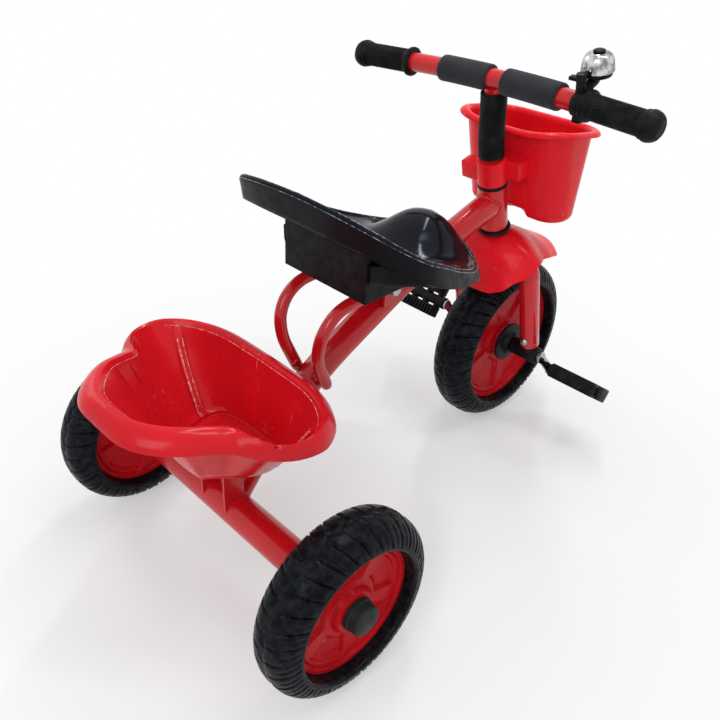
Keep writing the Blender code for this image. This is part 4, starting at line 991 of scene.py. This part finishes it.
STEM_BENDS = [(0, 0.4045, 0.412), (0, 0.4018, 0.432), (0, 0.4005, 0.452)]
SLEEVE_RIBS = 30
FORK_LOW_Z, FORK_TOP_Z = 0.1300, 0.2420
BEARING_IN = 0.0285
CROWN_HALF = [(-FORK_X, 0.2403), (-FORK_X, 0.2440), (-0.0510, 0.2540), (-0.0420, 0.2625), (-0.0290, 0.2670),
              (-0.0130, 0.2685)]


def stem():
    raked = [on_axis(z) for z in (0.2740, 0.300, 0.320, 0.340, 0.360, 0.392)]
    line = smooth_line([*raked, *STEM_BENDS, (0, 0.3982, 0.470), (0, 0.3964, 0.4800)], 6)
    dress("stem", sweep(line, STEM_R, 40), "paint", "steering", 60)


def stem_sleeve():
    """A soft plastic sleeve on the stem, ribbed all the way up."""
    line = smooth_line([on_axis(0.3960), *STEM_BENDS, (0, 0.3978, 0.4738)], 60)
    turns = [2 * pi * SLEEVE_RIBS * k / (len(line) - 1) for k in range(len(line))]
    radii = [0.0142 + 0.0010 * (0.5 + 0.5 * cos(turn)) ** 0.6 for turn in turns]
    dress("stem_sleeve", sweep(line, radii, 40, 0.0010), "grip", "steering", 70)


def fork():
    bearing = [(0.0060, 0.0400), (0.0104, 0.0400), (0.0112, 0.0396), (0.0115, 0.0386), (0.0115, 0.0014),
               (0.0111, 0.0004), (0.0104, 0.0), (0.0060, 0.0)]
    head = [(PINHOLE_R, 0.0036), (0.0010, 0.0036), (0.0013, 0.0040), (0.0030, 0.0038), (0.0045, 0.0027),
            (0.0054, 0.0012), (0.0056, 0.0), (PINHOLE_R, 0.0)]
    for side, sign in SIDES:
        shift = SIDE * sign * FORK_X
        low, high = on_axis(FORK_LOW_Z) + shift, on_axis(FORK_TOP_Z) + shift
        length = (high - low).length
        leg = [(0.0, length), (FORK_TUBE_R, length), (FORK_TUBE_R, 0.0026), (FORK_TUBE_R - 0.0006, 0.0010),
               (FORK_TUBE_R - 0.0020, 0.0), (0.0105, 0.0), (0.0105, 0.0080), (0.0, 0.0080)]
        dress("fork_leg_" + side, turned(leg, 48, low, STEER), "paint", "steering", 30)
        eye = turned(bearing, 48, FRONT_AXLE + SIDE * sign * BEARING_IN, (sign, 0, 0), True)
        spigot = sweep(straight(FRONT_AXLE + shift + STEER * 0.0060, low + STEER * 0.0075, 3), 0.0103, 40)
        dress("axle_bearing_" + side, join(eye, spigot), "black", "steering", 30)
        screw_at = low + STEER * 0.0130 - FORE * (FORK_TUBE_R - 0.0004)
        dress("bearing_screw_" + side, turned(head, 32, screw_at, -FORE), "zinc", "steering", 30)
    half = [Vector((x, on_axis(z).y, z)) for x, z in CROWN_HALF]
    crown = smooth_line([*half, on_axis(0.2686), *mirrored(reversed(half))], 5)
    dress("fork_crown", sweep(crown, FORK_TUBE_R, 48), "paint", "steering", 60)


# Foam pads: side, and where each starts and ends across the bar
FOAM_PADS = (("left", -0.0722, -0.0052), ("right", 0.0150, 0.0880))
PAD_R = 0.0150


def bar_point(x):
    """Point of the handlebar's bend."""
    k = (x / BAR_SPAN) ** 2
    return Vector((x, BAR_CENTRE.y - BAR_SWEEP * k, BAR_CENTRE.z - BAR_DROOP * k))


# The end of the bend and the direction in which the bar runs on
BEND_END = bar_point(STRAIGHT_FROM)
END_RUN = (bar_point(STRAIGHT_FROM + 0.004) - BEND_END).normalized()


def bar_end(x, sign):
    """Point of the straight part beyond the bend."""
    point = BEND_END + END_RUN * (x - BEND_END.x) / END_RUN.x
    return Vector((sign * point.x, point.y, point.z))


def handlebar():
    bend = [bar_point(STRAIGHT_FROM * k / 18) for k in range(-18, 19)]
    line = [bar_end(BAR_HALF, -1), *bend, bar_end(BAR_HALF, 1)]
    dress("handlebar", sweep(line, BAR_R, 40), "paint", "steering", 60)
    for side, low, high in FOAM_PADS:
        line = [bar_point(low + (high - low) * k / 16) for k in range(17)]
        pad = dress("foam_pad_" + side, sweep(line, PAD_R, 48, 0.0022), "foam", "steering", 60)


GRIP_RINGS = 27
GRIP_KNOBS = 24
# Radii of a grip's closed end, with how far each is from the tip
GRIP_TIP = ((0.0096, 0.0006), (0.0100, 0.0012), (0.0106, 0.0012), (0.0112, 0.0006), (0.0134, 0.0022),
            (0.0152, 0.0052), (0.0162, 0.0088), (0.0163, 0.0112), (0.0158, 0.0128), (0.0146, 0.0138),
            (0.0150, 0.0150), (0.0152, 0.0160), (0.0146, 0.0174), (0.0132, 0.0182))
GRIP_COLLAR = [(0.0132, 0.0088), (0.0142, 0.0080), (0.0150, 0.0068), (0.0160, 0.0056), (0.0168, 0.0046),
               (0.0171, 0.0030), (0.0169, 0.0010), (0.0162, 0.0), (BAR_R, 0.0)]


def grips():
    length = GRIP_LEN / END_RUN.x
    tip = [(radius, length - back) for radius, back in GRIP_TIP]
    top, bottom = length - 0.0190, 0.0096
    rows = GRIP_RINGS * 4

    def outline(angle):
        knob = 0.72 + 0.28 * cos(angle * GRIP_KNOBS)
        ribbed = [(0.0128 + 0.0013 * (0.5 + 0.5 * cos(pi * k / 2)) * knob,
                   top + (bottom - top) * k / rows) for k in range(rows + 1)]
        return tip + ribbed + GRIP_COLLAR

    for side, sign in SIDES:
        run = (sign * END_RUN.x, END_RUN.y, END_RUN.z)
        solid = lathe(outline, 120, bar_end(GRIP_IN[side], sign), run)
        dress("grip_" + side, solid, "grip", "steering", 60)


RING_HALF = 0.0058
BELL_FACETS = 22
BELL_RING = bar_end(GRIP_IN["right"] - RING_HALF - GAP, 1)
BELL_BASE = BELL_RING + Vector((0.0011, 0.0177, 0.0270))
BELL_UP = Vector((0.0, -0.16, 1.0)).normalized()
LEVER_PIVOT = BELL_BASE + Vector((-0.0030, -0.0232, -0.0010))


def bell_clamp():
    """The band on the bar, its lug, the post up to the bell and the boss under the lever."""
    band = both_ways([(BAR_R, RING_HALF), (0.0134, RING_HALF), (0.0139, 0.0054), (0.0140, 0.0046)])
    knees = [BELL_RING + Vector((-0.0012, 0.0050, 0.0090)), BELL_RING + Vector((-0.0012, 0.0100, 0.0165)),
             BELL_BASE - BELL_UP * 0.0065 - SIDE * 0.0025, BELL_BASE - BELL_UP * 0.0024 - SIDE * 0.0025]
    boss = straight(LEVER_PIVOT - BELL_UP * 0.0150, LEVER_PIVOT - BELL_UP * 0.0034, 3)
    lug = rounded_box((-0.0055, -0.006, -0.0195), (0.0042, 0.006, -0.0125), 0.001,
                      Matrix.Translation(BELL_RING))
    solid = join(turned(band, 56, BELL_RING, END_RUN, True), sweep(smooth_line(knees, 5), 0.0055, 28),
                 sweep(boss, 0.0050, 28, 0.0006), lug)
    dress("bell_clamp", solid, "black", "steering", 40)


def bell():
    base = [(0.0142, 0.0044), (0.0147, 0.0040), (0.0150, 0.0004), (0.0146, -0.0004), (0.0114, -0.0020),
            (0.0106, -0.0022)]
    dress("bell_base", turned(base, 64, BELL_BASE + BELL_UP * 0.0002, BELL_UP), "black", "steering", 40)
    at = BELL_BASE + BELL_UP * 0.0050
    crown = [(0.0036, 0.0185), (0.0042, 0.0187), (0.0078, 0.0186), (0.0100, 0.0180), (0.0118, 0.0170),
             (0.0131, 0.0157), (0.0140, 0.0143)]
    skirt = [(0.0152, 0.0120), (0.0158, 0.0096), (0.0162, 0.0064), (0.0166, 0.0030)]
    lip = [(0.0169, 0.0012), (0.0170, 0.0), (0.0163, -0.0001), (0.0158, 0.0010), (0.0153, 0.0052),
           (0.0146, 0.0108), (0.0128, 0.0145), (0.0086, 0.0168), (0.0036, 0.0171)]

    def dome(angle):
        # The skirt is pressed into upright facets
        flat = abs((angle / (2 * pi) * BELL_FACETS) % 1.0 - 0.5) * 2.0
        return crown + [(radius - 0.0005 * flat ** 2, z) for radius, z in skirt] + lip

    dress("bell_dome", lathe(dome, BELL_FACETS * 6, at, BELL_UP, True), "bell", "steering", 45)
    button = [(PINHOLE_R, 0.0216), (0.0026, 0.0215), (0.0048, 0.0212), (0.0059, 0.0206), (0.0062, 0.0200),
              (0.0061, 0.0191), (0.0033, 0.0191), (0.0033, 0.0), (PINHOLE_R, 0.0)]
    dress("bell_button", turned(button, 48, at, BELL_UP), "black", "steering", 40)
    pin = straight(LEVER_PIVOT - BELL_UP * 0.0030, LEVER_PIVOT + BELL_UP * 0.0060, 3)
    tongue = rounded_box((-0.0125, -0.0045, -0.0022), (0.0, 0.0030, 0.0018), 0.0008,
                         aligned(BELL_UP, LEVER_PIVOT))
    dress("bell_lever", join(sweep(pin, 0.0055, 32, 0.0006), tongue), "black", "bell_thumb", 40)


FENDER_COLUMNS = 36
# Fender: rows of angle about the wheel, radius at the middle, half width and droop at the edges
FENDER_ROWS = [(125.5, 0.1330, 0.030, -0.002), (121.5, 0.1420, 0.0455, 0.004), (116, 0.1580, 0.0535, 0.016),
               (110.5, 0.1720, 0.0640, 0.027), (104.5, 0.1805, 0.0674, 0.028), (98.5, 0.1785, 0.0615, 0.030),
               (91, 0.1690, 0.050, 0.030), (82, 0.1575, 0.047, 0.0225), (76, 0.1530, 0.0435, 0.0195),
               (70.5, 0.1508, 0.0408, 0.0175), (66.5, 0.1494, 0.0345, 0.0140), (63.8, 0.1482, 0.0265, 0.0095),
               (62.2, 0.1470, 0.0165, 0.0045)]


def fender():
    rows = smooth_line(FENDER_ROWS, 4)
    points = []
    for angle, radius, half, droop in rows:
        turn = radians(angle)
        for k in range(FENDER_COLUMNS + 1):
            across = sin((2.0 * k / FENDER_COLUMNS - 1.0) * pi / 2)
            reach = radius - droop * abs(across) ** 2.6
            off_axle = Vector((half * across, reach * cos(turn), reach * sin(turn)))
            points.append(FRONT_AXLE + off_axle)
    faces = grid_faces(len(rows), FENDER_COLUMNS + 1, wrap_columns=False)
    thicken(dress("fender", (points, flipped(faces)), "red", "steering", 70), FENDER_WALL, 0.0009)


# Front basket and its clamp
BASKET_BACK = 0.0285
BASKET_FLOOR_Z = 0.3090
BASKET_CLAMP_Z = 0.3765
BASKET_SAG = 0.0075
# The rim's height at one place of its length, and how steeply it slopes down towards the front
BASKET_RIM_Z, BASKET_RIM_Y, BASKET_FALL = 0.4340, 0.418, 0.17
# In plan: front, half width and corner radius of the floor, of the walls' foot and of the rim
FLOOR_PLAN = (0.5030, 0.0600, 0.0200)
FOOT_PLAN = (0.5110, 0.0700, 0.0270)
RIM_PLAN = (0.5215, 0.0735, 0.0330)
CORNER_STEPS = 13
# The step in the middle of the back's lower edge: its height, then x and share of the height
BACK_LIFT = 0.008
BACK_STEP = ((0.030, 0.0), (0.028, 0.0), (0.026, 0.2), (0.023, 0.9), (0.020, 1.0))


def basket_rim_z(y):
    return BASKET_RIM_Z - BASKET_FALL * (y - BASKET_RIM_Y)


def basket_loop(back, plan, z=None, lift=0.0):
    """A rounded rectangle in plan, lifted at the middle of its back. Without a z it follows the rim."""
    front, half, corner = plan
    spots = []
    for sign, y, start in ((1, front - corner, 0), (-1, front - corner, 90), (-1, back + corner, 180),
                           (1, back + corner, 270)):
        if start == 270:
            spots += [(-x, back, lift * share) for x, share in BACK_STEP]
            spots += [(x, back, lift * share) for x, share in reversed(BACK_STEP)]
        for k in range(CORNER_STEPS + 1):
            a = radians(start + 90 * k / CORNER_STEPS)
            spots.append((sign * (half - corner) + corner * cos(a), y + corner * sin(a), 0.0))
    return [Vector((x, y, (basket_rim_z(y) if z is None else z) + rise)) for x, y, rise in spots]


def wall_y(z):
    """Where the basket's back is at a height."""
    return on_axis(z).y + BASKET_BACK / cos(RAKE)


def front_basket():
    back = wall_y(0.4300)
    low_z = BASKET_FLOOR_Z + 0.010
    floor = basket_loop(wall_y(BASKET_FLOOR_Z) + 0.008, FLOOR_PLAN, BASKET_FLOOR_Z, BACK_LIFT)
    low = basket_loop(wall_y(low_z), FOOT_PLAN, low_z, BACK_LIFT)
    top = basket_loop(back, RIM_PLAN)
    for p in top:
        # The rim sags a little along its back
        p.z -= BASKET_SAG * max(0.0, 1 - (p.x / 0.070) ** 2) * max(0.0, 1 - (p.y - back) / 0.030)
    loops = [floor]
    for t in (0.35, 0.62, 0.82, 0.94):
        # The floor's edge is rounded up into the walls
        loop = between(floor, low, sin(t * pi / 2))
        for p, a, b in zip(loop, floor, low):
            p.z = a.z + (b.z - a.z) * (1 - cos(t * pi / 2))
        loops.append(loop)
    loops += [between(low, top, t) for t in (0.0, 0.15, 0.3, 0.45, 0.6, 0.75, 0.88, 0.97, 1.0)]
    rolled = ((0.0012, 0.0008), (0.0028, 0.0011), (0.0046, 0.0007), (0.0060, -0.0002), (0.0069, -0.0014),
              (0.0072, -0.0026))
    loops += [outward(top, out, rise) for out, rise in rolled]
    thicken(dress("front_basket", skin(loops), "red", "steering", 60), TUB_WALL)


def basket_clamp():
    at = on_axis(BASKET_CLAMP_Z)
    collar = both_ways([(STEM_R, 0.0155), (0.0172, 0.0155), (0.0177, 0.0151), (0.0178, 0.0144)])
    wings = rounded_box((-0.0200, 0.0080, -0.0110), (0.0330, BASKET_BACK - GAP, 0.0120), 0.0016,
                        steer_frame(at))
    lug = rounded_box((-0.0370, -0.0120, -0.0140), (-0.0080, 0.0060, 0.0090), 0.0024, steer_frame(at))
    solid = join(turned(collar, 64, at, STEER, True), wings, lug)
    dress("basket_clamp", solid, "red", "steering", 40)


# Drive

CRANK_EYE_R, PIN_EYE_R = 0.0080, 0.0072
PEDAL_TEETH = 12
PEDAL_BARS = 4


def cranks():
    rod = straight(FRONT_AXLE - SIDE * CRANK_ARM_X, FRONT_AXLE + SIDE * CRANK_ARM_X, 8)
    dress("crank_axle", sweep(rod, CRANK_ROD_R, 32, 0.0005), "chrome", "front_wheel", 40)
    for side, sign in SIDES:
        out, reach = SIDE * sign, CRANK_REACH * sign
        start = FRONT_AXLE + out * (CRANK_ARM_X + GAP)
        tip = start + reach
        along = reach.normalized()
        web = rounded_box((0.0002, 0.0, -0.0060), (0.0032, reach.length, 0.0060), 0.0008,
                          framed(out, along, out.cross(along), start))
        pin_end = FRONT_AXLE + reach + out * (PEDAL_IN + PEDAL_LEN - 0.0080)
        pin = sweep(straight(tip + out * 0.0010, pin_end, 4), 0.0040, 28, 0.0006)
        eyes = [turned(washer(PINHOLE_R, radius, 0.0, 0.0034, 0.0006), 40, at, out)
                for radius, at in ((CRANK_EYE_R, start), (PIN_EYE_R, tip))]
        dress("crank_arm_" + side, join(*eyes, web, pin), "chrome", "front_wheel", 40)
        pedal(side, sign, FRONT_AXLE + reach)


def pedal(side, sign, centre):
    """A pedal: two toothed treads and a barrel, joined by cross bars, with a cap on its outer end."""
    tilt = radians(PEDAL_TILT[side])
    out = SIDE * sign
    flat = Vector((0, cos(tilt), sin(tilt)))
    place = framed(out, flat, out.cross(flat), centre + out * PEDAL_IN)
    half_w, half_t, long = PEDAL_W / 2, PEDAL_T / 2, PEDAL_LEN - 0.006
    solids = [sweep(straight((0, 0, 0), (long, 0, 0), 6), 0.0072, 28, 0.0008),
              sweep(straight((-PEDAL_NECK, 0, 0), (0.004, 0, 0), 3), PEDAL_NECK_R, 32, 0.0008)]
    for row in (-1, 1):
        tread, ridge = row * 0.0168, row * 0.0188
        solids.append(rounded_box((0.0005, tread - 0.0076, -half_t + 0.0026),
                                  (long, tread + 0.0076, half_t - 0.0026), 0.0012))
        for k in range(PEDAL_TEETH):
            x = 0.0030 + (long - 0.0085) * k / (PEDAL_TEETH - 1)
            solids.append(rounded_box((x, ridge - 0.0058, -half_t), (x + 0.0030, ridge + 0.0080, half_t),
                                      0.0006, segments=2))
    for k in range(PEDAL_BARS):
        x = 0.0008 + (long - 0.0075) * k / (PEDAL_BARS - 1)
        solids.append(rounded_box((x, 0.004 - half_w, -0.0052), (x + 0.0066, half_w - 0.004, 0.0052), 0.0010))
    body = "pedal_" + side
    dress(body + "_block", moved(join(*solids), place), "black", body, 40)
    cap = rounded_box((long + GAP, -0.0120, -0.0092), (PEDAL_LEN, 0.0120, 0.0092), 0.0018)
    dress(body + "_end_cap", moved(cap, place), "cap", body, 40)


# CAD nodes that stay as they are, with better materials
KEPT = {
    "zinc": ("rear_axle_rod", "seat_bolt", "basket_bolt"),
    "black": ("beam_end_plug_right", "beam_end_plug_left", "rear_hub_bush_right", "rear_hub_bush_left",
              "seat_riser"),
    "paint": ("seat_plate", "seat_strap", "basket_bracket"),
}


def dress_kept():
    for look, names in KEPT.items():
        for name in names:
            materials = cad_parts[name].data.materials
            materials.clear()
            materials.append(LOOKS[look][0])


# Stage, light and camera

WHITE = (1.0, 1.0, 1.0, 1.0)


def empty_tree(owner):
    owner.use_nodes = True
    owner.node_tree.nodes.clear()
    return owner.node_tree


def any_ray(tree, first, *others):
    """1 for rays of these kinds, 0 for the rest."""
    path = add_node(tree, "LightPath")
    share = path.outputs[first]
    for kind in others:
        inputs = {0: share, 1: path.outputs[kind]}
        share = add_node(tree, "Math", inputs, operation="MAXIMUM").outputs[0]
    return share


def stage():
    """A matt floor that fades to plain white farther out, for the camera and for reflections."""
    bpy.ops.mesh.primitive_circle_add(vertices=96, radius=6.0, fill_type="NGON", location=(0, 0, -0.0004))
    floor = bpy.context.object
    floor.name = "floor"
    material = bpy.data.materials.new("floor_white")
    tree = empty_tree(material)
    place = add_node(tree, "TexCoord").outputs["Object"]
    distance = add_node(tree, "VectorMath", {0: place}, operation="LENGTH").outputs["Value"]
    inputs = {"Value": distance, "From Min": 0.15, "From Max": 0.85, "To Min": 0.35, "To Max": 1.0}
    fade = add_node(tree, "MapRange", inputs, interpolation_type="SMOOTHSTEP").outputs["Result"]
    inputs = {0: fade, 1: any_ray(tree, "Is Camera Ray", "Is Glossy Ray")}
    share = add_node(tree, "Math", inputs, operation="MULTIPLY").outputs[0]
    matt = add_node(tree, "BsdfDiffuse", {"Color": (0.86, 0.86, 0.86, 1.0)}).outputs[0]
    glow = add_node(tree, "Emission", {"Color": WHITE}).outputs[0]
    surface = add_node(tree, "MixShader", {0: share, 1: matt, 2: glow}).outputs[0]
    add_node(tree, "OutputMaterial", {"Surface": surface})
    floor.data.materials.append(material)


def sky():
    """White for what the camera and reflections see, a plain grey light for the rest."""
    world = bpy.data.worlds.new("studio")
    bpy.context.scene.world = world
    tree = empty_tree(world)
    grey = {"Color": (0.95, 0.97, 1.0, 1.0), "Strength": 0.55}
    light = add_node(tree, "Background", grey).outputs[0]
    white = add_node(tree, "Background", {"Color": WHITE, "Strength": 1.0}).outputs[0]
    share = any_ray(tree, "Is Camera Ray", "Is Transmission Ray", "Is Glossy Ray")
    surface = add_node(tree, "MixShader", {0: share, 1: light, 2: white}).outputs[0]
    add_node(tree, "OutputWorld", {"Surface": surface})


def lamp(name, at, aim, size, power, colour=(1, 1, 1)):
    data = bpy.data.lights.new(name, "AREA")
    data.shape = "RECTANGLE"
    data.size, data.size_y = size
    data.energy = power
    data.color = colour
    obj = bpy.data.objects.new(name, data)
    bpy.context.scene.collection.objects.link(obj)
    obj.location = at
    obj.rotation_euler = (Vector(aim) - Vector(at)).to_track_quat("-Z", "Y").to_euler()


def lights():
    lamp("ceiling_strip_a", (-0.5, 0.9, 2.2), (0, 0.1, 0.2), (0.10, 1.4), 14)
    lamp("ceiling_strip_b", (0.5, 0.4, 2.3), (0, 0.1, 0.2), (0.10, 1.4), 12)
    lamp("soft_front", (0.9, -2.1, 1.8), (0, 0, 0.2), (1.3, 1.3), 19)
    lamp("soft_left", (-2.2, -0.3, 1.5), (0, 0, 0.2), (1.2, 1.2), 8, (0.90, 0.94, 1.0))


CAMERA_AT = Vector((0.56598, -0.39667, 0.74746))
CAMERA_YAW, CAMERA_PITCH, CAMERA_ROLL = (radians(angle) for angle in (50.0, 31.39, -0.626))
LENS, SENSOR = 42.07, 36.0
LENS_SHIFT = (0.1117, -0.0516)


def camera():
    data = bpy.data.cameras.new("camera")
    data.lens, data.sensor_width = LENS, SENSOR
    data.shift_x, data.shift_y = LENS_SHIFT
    obj = bpy.data.objects.new("camera", data)
    bpy.context.scene.collection.objects.link(obj)
    turn = Matrix.Rotation(CAMERA_YAW, 4, "Z") @ Matrix.Rotation(pi / 2 - CAMERA_PITCH, 4, "X")
    obj.matrix_world = Matrix.Translation(CAMERA_AT + HOME) @ turn @ Matrix.Rotation(CAMERA_ROLL, 4, "Z")
    bpy.context.scene.camera = obj


camera()
rear_wheels()
front_wheel()
main_tube()
seat_loops()
head_bushes()
rear_tub()
bucket_seat()
seat_under_walls()
stem()
fork()
handlebar()
stem_sleeve()
grips()
bell_clamp()
bell()
fender()
front_basket()
basket_clamp()
cranks()
dress_kept()
stage()
sky()
lights()
bpy.context.scene.view_settings.view_transform = "Standard"
